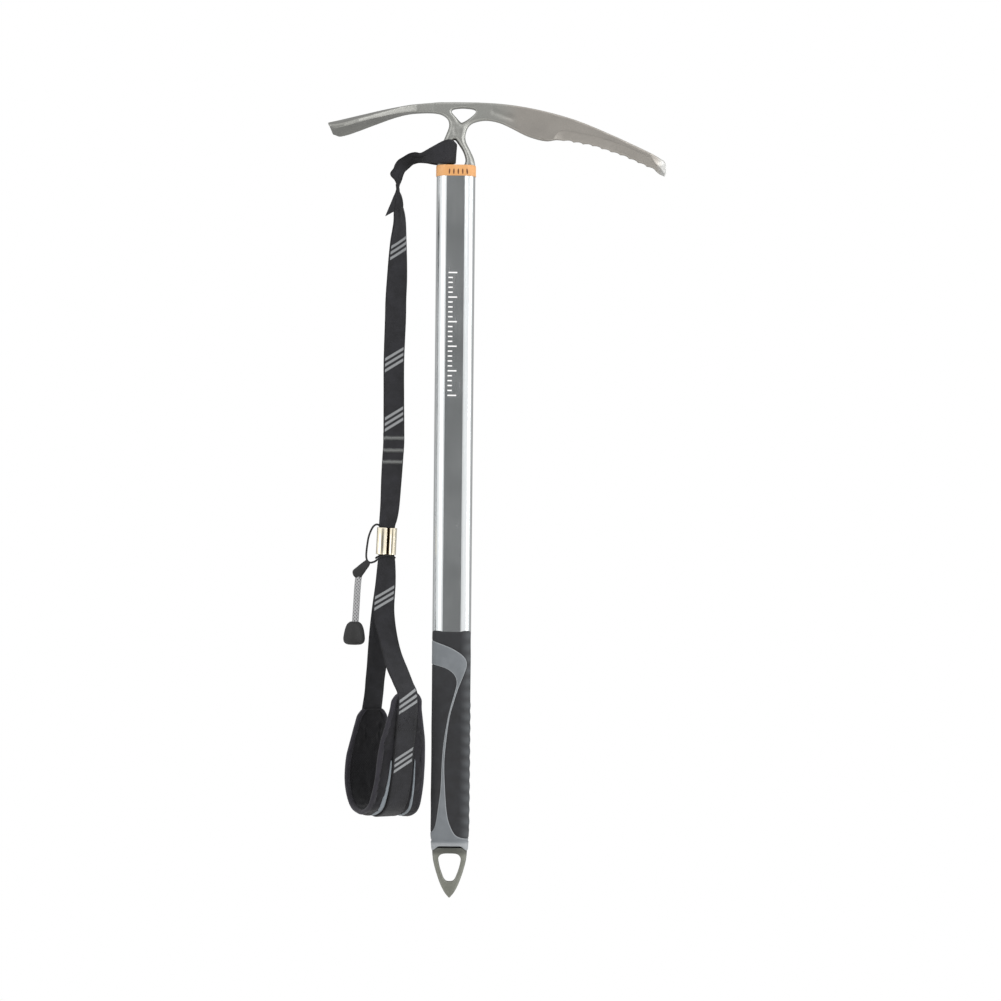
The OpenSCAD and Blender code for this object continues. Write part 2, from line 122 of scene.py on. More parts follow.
def noise2(x, y, seed, size):
    """Smooth noise from -1 to 1 over the plane, with bumps about size wide."""
    g = np.random.default_rng(seed).uniform(-1, 1, (128, 128))
    a, b = np.asarray(x, float) / size + 50, np.asarray(y, float) / size + 50
    i, j = np.floor(a).astype(int), np.floor(b).astype(int)
    s, t = a - i, b - j
    s, t = s * s * (3 - 2 * s), t * t * (3 - 2 * t)
    i, j = i % 127, j % 127
    return ((g[i, j] * (1 - s) + g[i + 1, j] * s) * (1 - t)
            + (g[i, j + 1] * (1 - s) + g[i + 1, j + 1] * s) * t)


def distance_to(x, z, line):
    """Distance in the plane from each (x, z) to a polyline."""
    best = np.full(x.shape, 1e9)
    for (ax, az), (bx, bz) in zip(line[:-1], line[1:]):
        dx, dz = bx - ax, bz - az
        t = np.clip(((x - ax) * dx + (z - az) * dz) / (dx * dx + dz * dz + 1e-12), 0, 1)
        best = np.minimum(best, (x - ax - t * dx) ** 2 + (z - az - t * dz) ** 2)
    return np.sqrt(best)


def inside(x, z, loop):
    """Which of the places (x, z) lie within a closed outline."""
    hit = np.zeros(x.shape, bool)
    for (ax, az), (bx, bz) in zip(loop, np.roll(loop, -1, axis=0)):
        if az != bz:
            hit ^= ((az > z) != (bz > z)) & (x < (bx - ax) * (z - az) / (bz - az) + ax)
    return hit


def signed(x, z, loop):
    """Distance to a closed outline, negative inside it."""
    d = distance_to(x, z, np.concatenate([loop, loop[:1]]))
    return np.where(inside(x, z, loop), -d, d)


def rounded_and(a, b, r):
    """The overlap of two fields, with its edge rounded to radius r."""
    p, q = a + r, b + r
    return np.sqrt(np.maximum(p, 0) ** 2 + np.maximum(q, 0) ** 2) + np.minimum(np.maximum(p, q), 0) - r


def soft_or(a, b, k):
    """Two fields joined, with the corner between them filled over a width of about k."""
    h = np.clip(0.5 + 0.5 * (b - a) / k, 0, 1)
    return b * (1 - h) + a * h - k * h * (1 - h)


# ---------------------------------------------------------------- meshes

def placed(name, data):
    """A new object in the scene."""
    obj = bpy.data.objects.new(name, data)
    bpy.context.collection.objects.link(obj)
    return obj


class Shape:
    """Gathers vertices, faces and the maps that go along them, in millimetres."""

    def __init__(self):
        self.points, self.faces, self.maps, self.count = [], [], [], 0

    def add(self, points, faces, maps=None):
        points = np.asarray(points, float)
        self.points.append(points)
        for i, f in enumerate(faces):
            self.faces.append([k + self.count for k in f])
            self.maps.extend(maps[i] if maps is not None else [(0.0, 0.0)] * len(f))
        self.count += len(points)

    def loft(self, rings, us=None, vs=None, caps=True):
        """A closed skin over rings[row][column], each ring closed on itself."""
        rings = np.asarray(rings, float)
        n, c = rings.shape[:2]
        if us is None:
            us = np.concatenate([lengths(rings[n // 2]), [0]])
            us[-1] = us[-2] + np.linalg.norm(rings[n // 2, 0] - rings[n // 2, -1])
        if vs is None:
            vs = lengths(rings.mean(1))
        faces, maps = [], []
        for i in range(n - 1):
            for j in range(c):
                k = (j + 1) % c
                faces.append((i * c + j, i * c + k, (i + 1) * c + k, (i + 1) * c + j))
                maps.append([(us[j], vs[i]), (us[j + 1], vs[i]), (us[j + 1], vs[i + 1]), (us[j], vs[i + 1])])
        if caps:
            for i, order in ((0, -1), (n - 1, 1)):
                ids = list(range(i * c, i * c + c))[::order]
                faces.append(ids)
                maps.append([(us[k - i * c], vs[i]) for k in ids])
        self.add(rings.reshape(-1, 3), faces, maps)

    def build(self, name, material, angle=40):
        mesh = bpy.data.meshes.new(name)
        mesh.from_pydata((np.concatenate(self.points) * MM).tolist(), [], self.faces)
        layer = mesh.uv_layers.new(name="along")
        layer.data.foreach_set("uv", np.asarray(self.maps, float).ravel())
        mesh.materials.append(material)
        mesh.validate()
        obj = placed(name, mesh)
        outward(mesh)
        mesh.shade_smooth()
        mesh.set_sharp_from_angle(angle=math.radians(angle))
        return obj


def lofted(name, rings, look, angle, us=None, vs=None):
    """One piece that is one closed skin over rings."""
    shape = Shape()
    shape.loft(rings, us, vs)
    return shape.build(name, look, angle)


def outward(mesh, weld=0.0):
    """Turns the faces of each closed shell outwards, after joining points that lie within weld."""
    bm = bmesh.new()
    bm.from_mesh(mesh)
    if weld:
        bmesh.ops.remove_doubles(bm, verts=bm.verts, dist=weld * MM)
    bmesh.ops.recalc_face_normals(bm, faces=bm.faces)
    bm.to_mesh(mesh)
    bm.free()


def field_mesh(name, values, origin, step, material, slot):
    """The surface where a field of signed distances is zero."""
    grid = vdb.FloatGrid(background=3.0)
    grid.copyFromArray(np.clip(values, -3, 3).astype(np.float32))
    points, quads = grid.convertToQuads(isovalue=0.0)
    shape = Shape()
    shape.add(points * step + np.asarray(origin, float), quads.tolist())
    obj = shape.build(name, material, 80)
    settle = obj.modifiers.new("settle", "SMOOTH")
    settle.factor, settle.iterations = 0.5, 4
    return obj


def loop_of_section(width, depth, corner, n=14):
    """A rounded rectangle in the XY plane, going round from the middle of its right side."""
    w, d = width / 2 - corner, depth / 2 - corner
    out = []
    for cx, cy, a in ((w, d, 0), (-w, d, 90), (-w, -d, 180), (w, -d, 270)):
        for k in range(n + 1):
            t = math.radians(a + 90 * k / n)
            out.append((cx + corner * math.cos(t), cy + corner * math.sin(t)))
    return np.array(out)


def loop_of_shaft(n=26):
    """The shaft's section: two flat faces that meet round sides at a crisp line."""
    wide, deep, flat = 15.85, 10.0, 7.3
    r = ((wide - flat) ** 2 + deep ** 2) / (2 * (wide - flat))
    end = math.asin(deep / r)
    a = np.linspace(-end, end, n)
    right = np.column_stack([wide - r + r * np.cos(a), r * np.sin(a)])
    face = np.column_stack([np.linspace(flat, -flat, 9)[1:-1], np.full(7, deep)])
    return np.concatenate([right, face, -right, -face])


def tube_rings(path, radius, sides):
    """Rings round a path."""
    t = unit(np.gradient(path, axis=0))
    side = unit(np.cross(np.array([0.0, 1.0, 0.0]), t))[:, None]
    up = np.cross(t, side[:, 0])[:, None]
    a = turn(sides)[None, :, None]
    return path[:, None] + radius * (side * np.cos(a) + up * np.sin(a))


# ---------------------------------------------------------------- materials

class Look:
    """A material, and short ways to build its nodes. Lengths are in millimetres."""

    def __init__(self, name):
        self.material = bpy.data.materials.new(name)
        self.material.use_nodes = True
        self.tree = self.material.node_tree
        self.shader = self.tree.nodes["Principled BSDF"]

    def node(self, kind, **settings):
        n = self.tree.nodes.new("ShaderNode" + kind)
        for key, value in settings.items():
            setattr(n, key, value)
        return n

    def put(self, socket, value):
        if isinstance(value, bpy.types.NodeSocket):
            self.tree.links.new(value, socket)
        elif isinstance(value, (tuple, list)) and socket.type == "RGBA":
            socket.default_value = (*value[:3], 1)
        else:
            socket.default_value = value

    def math(self, op, *values):
        n = self.node("Math", operation=op)
        for socket, value in zip(n.inputs, values):
            self.put(socket, value)
        return n.outputs[0]

    def add(self, a, b):
        return self.math("ADD", a, b)

    def minus(self, a, b):
        return self.math("SUBTRACT", a, b)

    def times(self, a, b):
        return self.math("MULTIPLY", a, b)

    def sine(self, a):
        return self.math("SINE", a)

    def mm(self):
        """The place on the piece, in millimetres."""
        n = self.node("VectorMath", operation="SCALE")
        self.put(n.inputs[0], self.node("TexCoord").outputs["Object"])
        n.inputs["Scale"].default_value = 1000
        return n.outputs[0]

    def along(self):
        """Millimetres across and along the piece."""
        return self.node("UVMap", uv_map="along").outputs[0]

    def split(self, vector):
        n = self.node("SeparateXYZ")
        self.put(n.inputs[0], vector)
        return n.outputs[:]

    def stretched(self, vector, scale):
        n = self.node("VectorMath", operation="MULTIPLY")
        self.put(n.inputs[0], vector)
        n.inputs[1].default_value = scale
        return n.outputs[0]

    def noise(self, vector, size, detail=3, rough=0.55):
        n = self.node("TexNoise")
        self.put(n.inputs["Vector"], vector)
        n.inputs["Scale"].default_value = 1 / size
        n.inputs["Detail"].default_value = detail
        n.inputs["Roughness"].default_value = rough
        return n.outputs["Fac"]

    def between(self, value, low, high, to_low=0.0, to_high=1.0):
        n = self.node("MapRange", clamp=True)
        for socket, v in zip(n.inputs, (value, low, high, to_low, to_high)):
            self.put(socket, v)
        return n.outputs[0]

    def blend(self, fac, a, b):
        n = self.node("Mix", data_type="RGBA")
        self.put(n.inputs[0], fac)
        self.put(n.inputs[6], a)
        self.put(n.inputs[7], b)
        return n.outputs[2]

    def bump(self, height, distance):
        n = self.node("Bump")
        n.inputs["Distance"].default_value = distance * MM
        self.put(n.inputs["Height"], height)
        return n.outputs[0]

    def soft(self):
        """The dull sheen that all the woven pieces have."""
        self.shader.inputs["Specular IOR Level"].default_value = 0.2
        self.shader.inputs["Sheen Weight"].default_value = 0.12
        self.shader.inputs["Sheen Roughness"].default_value = 0.5

    def done(self, **inputs):
        for key, value in inputs.items():
            self.put(self.shader.inputs[key.replace("_", " ")], value)
        return self.material


def lin(*rgb):
    """Linear colour from display values of 0 to 255."""
    return tuple(((c / 255) / 12.92 if c < 11 else (((c / 255) + 0.055) / 1.055) ** 2.4) for c in rgb)


def spike_look():
    """Worn steel that is darker at its top, where the grip shades it."""
    m = Look("spike_steel")
    at = m.mm()
    base = lin(141, 142, 135)
    rough = 0.48
    cloud = m.noise(at, 14, 4, 0.6)
    fine = m.noise(at, 0.9, 3, 0.7)
    streak = m.noise(m.stretched(at, (0.12, 1, 0.9)), 1.1, 2)
    colour = m.blend(m.between(cloud, 0.35, 0.65), base, lin(128, 129, 121))
    colour = m.blend(m.between(fine, 0.3, 0.75, 0.0, 0.35), colour, tuple(c * 0.72 for c in base))
    shaded = m.between(m.split(at)[2], TIP_Z + 34.5, TIP_Z + 38)
    colour = m.blend(shaded, colour, tuple(c * 0.45 for c in base))
    height = m.add(m.times(fine, 0.6), m.times(streak, 0.5))
    roughness = m.add(m.between(cloud, 0.3, 0.7, rough - 0.06, rough + 0.06),
                      m.between(fine, 0.2, 0.8, -0.05, 0.05))
    return m.done(Base_Color=colour, Metallic=1.0, Roughness=roughness, Normal=m.bump(height, 0.05))


def head_look():
    """Forged steel: greyer on the adze, warmer on the pick and ground bright at the pick's point."""
    m = Look("forged_steel")
    at = m.mm()
    x = m.split(at)[0]
    cloud = m.noise(at, 16, 4, 0.6)
    fine = m.noise(at, 0.8, 3, 0.7)
    pit = m.noise(at, 2.6, 2, 0.5)
    brushed = m.noise(m.stretched(at, (0.9, 1, 0.08)), 0.9, 2)
    adze = m.between(x, -16, -44)
    pick = m.between(x, 26, 46)
    ground = m.between(x, 158, 163)
    adze_grey = m.blend(m.between(cloud, 0.3, 0.7), lin(160, 160, 156), lin(143, 143, 139))
    pick_grey = m.blend(m.between(cloud, 0.3, 0.7), lin(172, 167, 161), lin(162, 157, 151))
    base = m.blend(m.between(cloud, 0.32, 0.68), lin(170, 171, 167), lin(154, 154, 150))
    base = m.blend(adze, base, adze_grey)
    base = m.blend(pick, base, pick_grey)
    base = m.blend(ground, base, lin(182, 182, 180))
    base = m.blend(m.between(fine, 0.35, 0.8, 0.0, 0.4), base, lin(120, 120, 116))
    base = m.blend(m.between(pit, 0.68, 0.8, 0.0, 0.25), base, lin(214, 214, 210))
    rough = m.add(m.between(cloud, 0.3, 0.7, 0.4, 0.5), m.between(fine, 0.2, 0.8, -0.06, 0.06))
    height = m.add(m.times(fine, 0.6), m.add(m.times(pit, 0.9), m.times(brushed, 0.4)))
    height = m.times(height, m.between(x, 26, 46, 1.0, 0.3))
    return m.done(Base_Color=base, Metallic=1.0, Roughness=rough, Normal=m.bump(height, 0.045))


def shaft_look():
    """Drawn aluminium with fine lines along it."""
    m = Look("satin_aluminium")
    at = m.mm()
    draw = m.noise(m.stretched(at, (1, 1, 0.012)), 0.55, 3, 0.6)
    cloud = m.noise(at, 40, 2)
    scuff = m.noise(m.stretched(at, (0.3, 0.3, 0.06)), 1.2, 3, 0.6)
    colour = m.blend(m.between(draw, 0.3, 0.7), lin(214, 217, 218), lin(204, 207, 209))
    colour = m.blend(m.between(scuff, 0.6, 0.75, 0.0, 0.2), colour, lin(186, 188, 190))
    rough = m.add(m.between(cloud, 0.3, 0.7, 0.22, 0.26), m.between(scuff, 0.55, 0.8, 0.0, 0.04))
    return m.done(Base_Color=colour, Metallic=1.0, Roughness=rough, Normal=m.bump(draw, 0.002))


def plastic_look(name, colour, deep):
    m = Look(name)
    at = m.mm()
    cloud = m.noise(at, 6, 3)
    grain = m.noise(at, 0.35, 2)
    base = m.blend(m.between(cloud, 0.3, 0.7), colour, deep)
    return m.done(Base_Color=base, Roughness=m.between(grain, 0.3, 0.7, 0.37, 0.5),
                  Normal=m.bump(grain, 0.03))


def rubber_look(name, colour, worn, rough=0.62, grain_size=0.45, rim=None, ridges=False):
    """Moulded rubber. rim is a lighter tone: painted highlight along the edge lines, and a lighter band at
    the foot; the map is the distance from an edge line and the height. ridges says that the finger ridges on
    the right get a painted highlight, lighter on their crests."""
    m = Look(name)
    m.shader.inputs["Specular IOR Level"].default_value = 0.3
    at = m.mm()
    cloud = m.noise(at, 9, 4, 0.6)
    grain = m.noise(at, grain_size, 2, 0.5)
    base = m.blend(m.between(cloud, 0.35, 0.7), colour, worn)
    base = m.blend(m.between(grain, 0.55, 0.8, 0.0, 0.3), base, worn)
    if ridges:
        side, _, height = m.split(at)
        phase = m.times(m.minus(height, TIP_Z + RIDGE_START), 2 * math.pi / RIDGE_PITCH)
        wave = m.math("COSINE", phase)
        # painted highlight: the finger ridges on the right are painted lighter, as if lit from the right
        ridge_highlight = m.times(m.between(side, 2, 9), m.between(wave, -1, 1, 0.35, 1.0))
        base = m.blend(m.times(ridge_highlight, 0.85), base, lin(74, 77, 80))
    # painted highlight: thin light lines along the inlay's edge lines; the same tone makes a lighter band at
    # the foot
    if rim:
        off, up = m.split(m.along())[:2]
        base = m.blend(m.between(off, 0.75, 0.2, 0.0, 0.7), base, rim)
        base = m.blend(m.between(up, 46.6, 44.5, 0.0, 0.75), base, rim)
    return m.done(Base_Color=base, Roughness=m.between(cloud, 0.3, 0.7, rough - 0.06, rough + 0.08),
                  Normal=m.bump(grain, 0.09))


BAR_SLOPE = 0.62


def webbing_look(name, prints=(), painted_shade_span=None):
    """Chevron-woven nylon tape. prints are the places along it of three plain slanted bars in light grey,
    and the last argument is (place, reach, length) of a span painted dark as shade where the tape bunches up,
    the same from both its ends."""
    m = Look(name)
    uv = m.along()
    u, v = m.split(uv)[:2]
    column = m.math("PINGPONG", u, 0.9)
    chevron = m.sine(m.times(m.add(v, m.times(column, 0.9)), 5.2))
    ribs = m.sine(m.times(u, 6.98))
    yarn = m.add(m.times(chevron, 0.5), m.times(ribs, 0.25))
    fuzz = m.noise(uv, 0.35, 3, 0.6)
    cloud = m.noise(uv, 11, 3)
    from_middle = m.math("ABSOLUTE", m.minus(m.math("PINGPONG", u, TAPE_WIDTH), TAPE_WIDTH / 2))
    base = m.blend(m.between(cloud, 0.3, 0.7), lin(36, 36, 38), lin(48, 48, 52))
    base = m.blend(m.between(yarn, -0.6, 0.7, 0.35, 0.0), base, lin(14, 14, 16))
    base = m.blend(m.between(fuzz, 0.6, 0.78, 0.0, 0.4), base, lin(78, 78, 82))
    # painted shade: the outermost edge of the tape is darkened into a dark outline
    base = m.blend(m.between(from_middle, 7.9, 8.5, 0.0, 0.65), base, lin(12, 12, 13))
    if painted_shade_span:
        place, reach, length = painted_shade_span
        # painted shade over the span where the tape bunches up, measured from both ends
        near = m.math("ABSOLUTE", m.minus(m.math("PINGPONG", v, length / 2), place))
        base = m.blend(m.between(near, reach, reach * 0.3, 0.0, 0.7), base, lin(8, 8, 9))
    for place in prints:
        for shift in (-4.6, 0.0, 4.6):
            off = m.minus(m.add(v, m.times(u, BAR_SLOPE)), place + shift + BAR_SLOPE * TAPE_WIDTH / 2)
            bar = m.between(m.math("ABSOLUTE", off), 1.35, 1.05)
            band = m.between(from_middle, 7.9, 7.4)
            mask = m.times(m.times(bar, band), m.between(yarn, -0.7, -0.2, 0.5, 0.9))
            base = m.blend(mask, base, lin(150, 152, 154))
    m.soft()
    normal = m.bump(m.add(yarn, m.times(fuzz, 0.5)), 0.14)
    return m.done(Base_Color=base, Roughness=m.between(fuzz, 0.3, 0.7, 0.68, 0.85), Normal=normal)


def cloth_look(name, colour, light, pitch, depth):
    """Plain-woven cloth with yarns pitch apart."""
    m = Look(name)
    uv = m.along()
    u, v = m.split(uv)[:2]
    k = math.pi / pitch
    weave = m.times(m.sine(m.times(u, k)), m.sine(m.times(v, k)))
    fuzz = m.noise(uv, 0.4, 3, 0.6)
    cloud = m.noise(uv, 8, 4, 0.6)
    base = m.blend(m.between(cloud, 0.32, 0.7), colour, light)
    base = m.blend(m.between(weave, -0.8, 0.8, 0.4, 0.0), base, tuple(c * 0.4 for c in colour))
    base = m.blend(m.between(fuzz, 0.62, 0.8, 0.0, 0.35), base, tuple(min(1, c * 1.9) for c in light))
    m.soft()
    height = m.add(weave, m.times(fuzz, 0.7))
    return m.done(Base_Color=base, Roughness=m.between(fuzz, 0.3, 0.7, 0.75, 0.92),
                  Normal=m.bump(height, depth))


def braid_look(name, colour, dark, pitch):
    """Braided cord: two sets of strands that cross."""
    m = Look(name)
    u, v = m.split(m.along())[:2]
    k = 2 * math.pi / pitch
    one = m.sine(m.times(m.add(u, v), k * 0.5))
    two = m.sine(m.times(m.minus(u, v), k * 0.5))
    height = m.math("MAXIMUM", one, two)
    fuzz = m.noise(m.along(), 0.3, 3)
    base = m.blend(m.between(height, -0.2, 0.8), dark, colour)
    base = m.blend(m.between(fuzz, 0.6, 0.8, 0.0, 0.4), base, dark)
    return m.done(Base_Color=base, Roughness=m.between(fuzz, 0.3, 0.7, 0.7, 0.85),
                  Normal=m.bump(height, 0.12))


def brass_look():
    m = Look("polished_brass")
    at = m.mm()
    line = m.noise(m.stretched(at, (1, 1, 0.03)), 0.5, 3)
    cloud = m.noise(at, 3.5, 3)
    base = m.blend(m.between(cloud, 0.3, 0.7), lin(246, 240, 222), lin(232, 222, 198))
    base = m.blend(m.between(line, 0.3, 0.7, 0.0, 0.25), base, lin(196, 184, 158))
    # painted shade: the groove where the sheet's edges meet is painted dark
    base = m.blend(m.between(m.split(m.along())[0], 1.5, 0.7), base, lin(82, 66, 36))
    return m.done(Base_Color=base, Metallic=1.0, Roughness=m.between(cloud, 0.3, 0.7, 0.16, 0.24),
                  Normal=m.bump(line, 0.015))


def paint_look(name, colour):
    m = Look(name)
    at = m.mm()
    wear = m.noise(at, 0.8, 4, 0.7)
    base = m.blend(m.between(wear, 0.55, 0.75, 0.0, 0.5), colour, tuple(c * 0.6 for c in colour))
    return m.done(Base_Color=base, Roughness=m.between(wear, 0.3, 0.7, 0.45, 0.6),
                  Normal=m.bump(wear, 0.02))


FORGED = head_look()
SPIKE_STEEL = spike_look()
SATIN = shaft_look()
ORANGE = plastic_look("orange_plastic", lin(218, 162, 104), lin(208, 150, 92))
MARK = plastic_look("dark_marks", lin(112, 60, 14), lin(86, 46, 12))
# the grip's right-hand finger ridges carry a painted highlight
GRIP = rubber_look("grip_rubber", lin(37, 37, 39), lin(46, 47, 50), ridges=True)
# the last tone is painted highlight along the inlay's edge lines, and a lighter band at its foot
INLAY = rubber_look("inlay_rubber", lin(108, 112, 116), lin(117, 121, 125), 0.58, 0.6,
                    lin(158, 161, 164))
WHITE_PAINT = paint_look("white_print", lin(238, 238, 238))
THREAD = braid_look("grey_thread", lin(138, 140, 139), lin(80, 82, 82), 0.5)
BLACK_THREAD = braid_look("black_thread", lin(58, 58, 60), lin(26, 26, 28), 0.5)
BRASS = brass_look()
CORD = braid_look("black_cord", lin(36, 36, 38), lin(12, 12, 13), 0.8)
PULL_CORD = braid_look("grey_cord", lin(170, 170, 171), lin(88, 88, 90), 1.4)
PULL_RUBBER = rubber_look("pull_rubber", lin(36, 36, 36), lin(44, 44, 45), 0.6, 0.5)
COVER = cloth_look("pad_cover", lin(29, 29, 31), lin(41, 40, 45), 0.7, 0.1)
LINING = cloth_look("pad_lining", lin(24, 24, 26), lin(33, 33, 36), 1.1, 0.12)
BINDING = cloth_look("edge_binding", lin(44, 43, 48), lin(56, 54, 61), 0.6, 0.08)
PIPING = cloth_look("light_piping", lin(125, 132, 138), lin(142, 148, 154), 0.6, 0.06)
WEBBING = webbing_look("webbing")


# ---------------------------------------------------------------- head

HEAD_TOP = [(-111, -8.6), (-84, -1.9), (-55, 5.0), (-26, 8.9), (0, 9.8), (33, 8.5), (62, 4), (92, -4),
            (122, -16), (151, -29.2), (161, -34.4)]
PICK_POINT = [(164.6, -36.4), (166, -39), (166.3, -46.5), (165, -49.4), (160.5, -47.4)]
TEETH_LINE = [(157.5, -44.6), (144, -38.6), (131, -33), (107, -25.2), (82.5, -20.8)]
PICK_ROOT = [(82.5, -20.8), (76, -20), (67, -20.9), (53, -17.3), (38, -10), (28, -6), (18, -4.8),
             (9, -6.7), (4.4, -10), (2.4, -14.5), (1.8, -19), (2.8, -23.5), (5.6, -29), (8.7, -35.7),
             (10.2, -42), (10.3, -46)]
LEFT_LEG = [(-21.3, -46), (-21.2, -42), (-20.3, -35.7), (-18, -28.5), (-15.8, -21.4), (-13.2, -15),
            (-11.5, -9.5), (-12.6, -4.4), (-16.5, -1), (-22, 0.8), (-30, 1.6), (-50, -0.7),
            (-75, -7.8), (-94, -14.1), (-103, -16.2)]
CARRY_HOLE = [(-9.6, 2.6), (-7.5, 4.2), (0, 5), (8, 4.2), (10.4, 2.6), (9, 0), (4, -4),
              (-0.6, -6.6), (-2.2, -6.4), (-6, -2.4), (-9, 0.8)]
LEASH_EYE = [(-7, -20.9), (-5.2, -22.4), (-1, -28.6), (1.2, -33.4), (2.1, -38), (1, -41.4),
             (-1, -42.2), (-10, -42.2), (-12.4, -41.2), (-13.2, -38), (-12.6, -32), (-10.8, -27),
             (-8.8, -22.4)]
TEETH = 10
# half the thickness of the bar and of the pick, where the plate ends inside the adze and the collar
BAR_HALF = 3.75
PICK_HALF = 2.0
PLATE_LEFT = -24
HEAD_FOOT = -43.6
# pressed hollows: the line of each, its depth and its reach
HOLLOWS = (([(25, 2), (40, -3.2)], 0.4, 2.1), ([(-6.5, -11.5), (-5.5, -16)], 0.5, 2.6))
# x, half width and thickness along the adze, and the x of its edge
ADZE = [(-113, 26.2, 3.3), (-109, 27, 3.4), (-106, 28, 3.5), (-96, 27.2, 3.5), (-84, 24.6, 3.7),
        (-72, 19.6, 4.0), (-60, 13.4, 4.7), (-48, 8.1, 5.9), (-38, 5.0, 6.8), (-30, 4.25, 7.4),
        (-25, 3.85, 8.0), (-21, 3.4, 8.4), (-15, 2.8, 9)]
ADZE_END = -110.4


def toothed_edge():
    """Teeth with a small ledge in front of each drop, as seen along the pick."""
    line = np.array(TEETH_LINE, float)
    s = lengths(line)
    out = []
    for k in range(TEETH * 8 + 1):
        t = k / (TEETH * 8)
        f = t * TEETH - math.floor(t * TEETH)
        lift = 1.15 * (math.sin(math.pi * f ** 0.7)) ** 0.85 if 0 < f < 1 else 0
        at = t * s[-1]
        out.append((np.interp(at, s, line[:, 0]), np.interp(at, s, line[:, 1]) + lift))
    return out


def half_thickness(x, z):
    """Half the thickness of the head's plate at each place: a thin pick, a full bar and a thick neck."""
    slant = x + 0.35 * (z - 1)
    half = BAR_HALF - (BAR_HALF - PICK_HALF) * ease(slant, 24, 44)
    half = np.maximum(half, BAR_HALF + 1.0 * ease(-z, 5, 13) * (1 - ease(x, 6, 22)))
    half += 0.9 * ease(-z, 31, 42)
    for line, depth, reach in HOLLOWS:
        half -= depth * np.exp(-(distance_to(x, z, line) / reach) ** 2)
    half = np.minimum(half, 0.5 + 0.3 * distance_to(x, z, PICK_POINT))
    half = np.where(x > 75, np.minimum(half, 1.3 + 0.3 * distance_to(x, z, TEETH_LINE)), half)
    return half + 0.1 * noise2(x, z, 3, 9)


def plate_field(x, y, z):
    """Signed distances for the head's plate with its two holes, rounded along its edges."""
    outline = np.concatenate([smooth(HEAD_TOP, 5), np.array(PICK_POINT, float), toothed_edge(),
                              smooth(PICK_ROOT, 5), smooth(LEFT_LEG, 5)])
    gx, gz = np.meshgrid(x, z, indexing="ij")
    flat = signed(gx, gz, outline)
    for hole in (CARRY_HOLE, LEASH_EYE):
        flat = np.maximum(flat, -signed(gx, gz, smooth_loop(hole, 4)))
    flat = np.maximum(flat, PLATE_LEFT - gx)
    half = half_thickness(gx, gz)
    corner = np.minimum(0.9 + 2.4 * ease(-gz, -2, 8) * (1 - ease(gx, 8, 30)), half * 0.9)
    corner = np.where(gx < 8, np.maximum(corner, 1.6), corner)
    return rounded_and(flat[:, None, :], y[None, :, None] - half[:, None, :], corner[:, None, :])


def adze_field(x, y, z):
    """Signed distances for the adze: a slab that droops to both sides of its crest."""
    top = smooth(HEAD_TOP, 5)
    low = smooth(LEFT_LEG[::-1][:6], 5)
    crest = np.interp(x, top[:, 0], top[:, 1])
    at, halves, depths = np.array(ADZE).T
    wide, thick = np.interp(x, at, halves), np.interp(x, at, depths)
    sag = np.maximum(crest - thick - np.interp(x, low[:, 0], low[:, 1]), 0)
    x, crest, wide, thick, sag = (q[:, None, None] for q in (x, crest, wide, thick, sag))
    y, z = y[None, :, None], z[None, None, :]
    out = y / wide
    end = (ADZE_END + 0.36 * (crest - z) - x) / 1.06
    thick = thick * (0.45 + 0.55 * ease(-end, 0, 5))
    middle = crest - sag * np.minimum(out, 1.15) ** 2 - thick / 2
    slope = 1 / np.sqrt(1 + (2 * sag * np.minimum(out, 1) / wide) ** 2 + 0.06)
    slab = (np.abs(z - middle) - thick / 2) * slope
    sides = np.maximum(y - wide, x + 16)
    return rounded_and(slab, np.maximum(sides, end) + 0 * slab, 0.9)


def head_field(step):
    """Signed distances for the whole head, cut off inside the collar and mirrored behind."""
    x = np.arange(-113.4, 169, step)
    y = np.arange(0, 30.5, step)
    z = np.arange(-52, 13, step)
    whole = soft_or(plate_field(x, y, z), adze_field(x, y, z), 0.8)
    foot = np.where(x[:, None, None] < 60, HEAD_FOOT - z[None, None, :], -9.0)
    whole = np.maximum(whole, foot)
    whole = np.concatenate([whole[:, :0:-1], whole], axis=1)
    return whole, (x[0], -y[-1], z[0]), step


head = field_mesh("head", *head_field(0.47), FORGED, "head_steel")
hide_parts("head_casting")
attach(head, "axe")


# ---------------------------------------------------------------- shaft, collar and printed scale

SHAFT_FRONT = -10.0
COLLAR_FRONT = -10.42
# height, width and depth from under the collar's skirt, up its side and over its rim
COLLAR_LEVELS = [(-51.0, 31.9, 20.2), (-51.0, 32.3, 20.6), (-50.7, 32.55, 20.85), (-50.2, 32.6, 20.9),
                 (-43.6, 32.5, 20.8), (-42.7, 32.3, 20.6), (-42.2, 31.8, 20.1), (-42.0, 31.0, 19.3),
                 (-42.0, 20, 8.4)]


def at_height(outline, z):
    """An outline of the shaft's section as a ring at height z."""
    return np.column_stack([outline[:, 0] + SHAFT_X, outline[:, 1], np.full(len(outline), z)])


def shaft_piece():
    outline = loop_of_shaft()
    rings = [at_height(outline, z) for z in np.linspace(GRIP_TOP - 3, COLLAR_TOP - 8.6, 40)]
    return lofted("shaft", rings, SATIN, 7)


def collar_piece():
    rings = []
    for z, width, depth in COLLAR_LEVELS:
        corner = min(8.1 + (width - 31.7) / 2, width / 2 - 0.1, depth / 2 - 0.1)
        rings.append(at_height(loop_of_section(width, depth, corner), z))
    return lofted("collar", rings, ORANGE, 30)


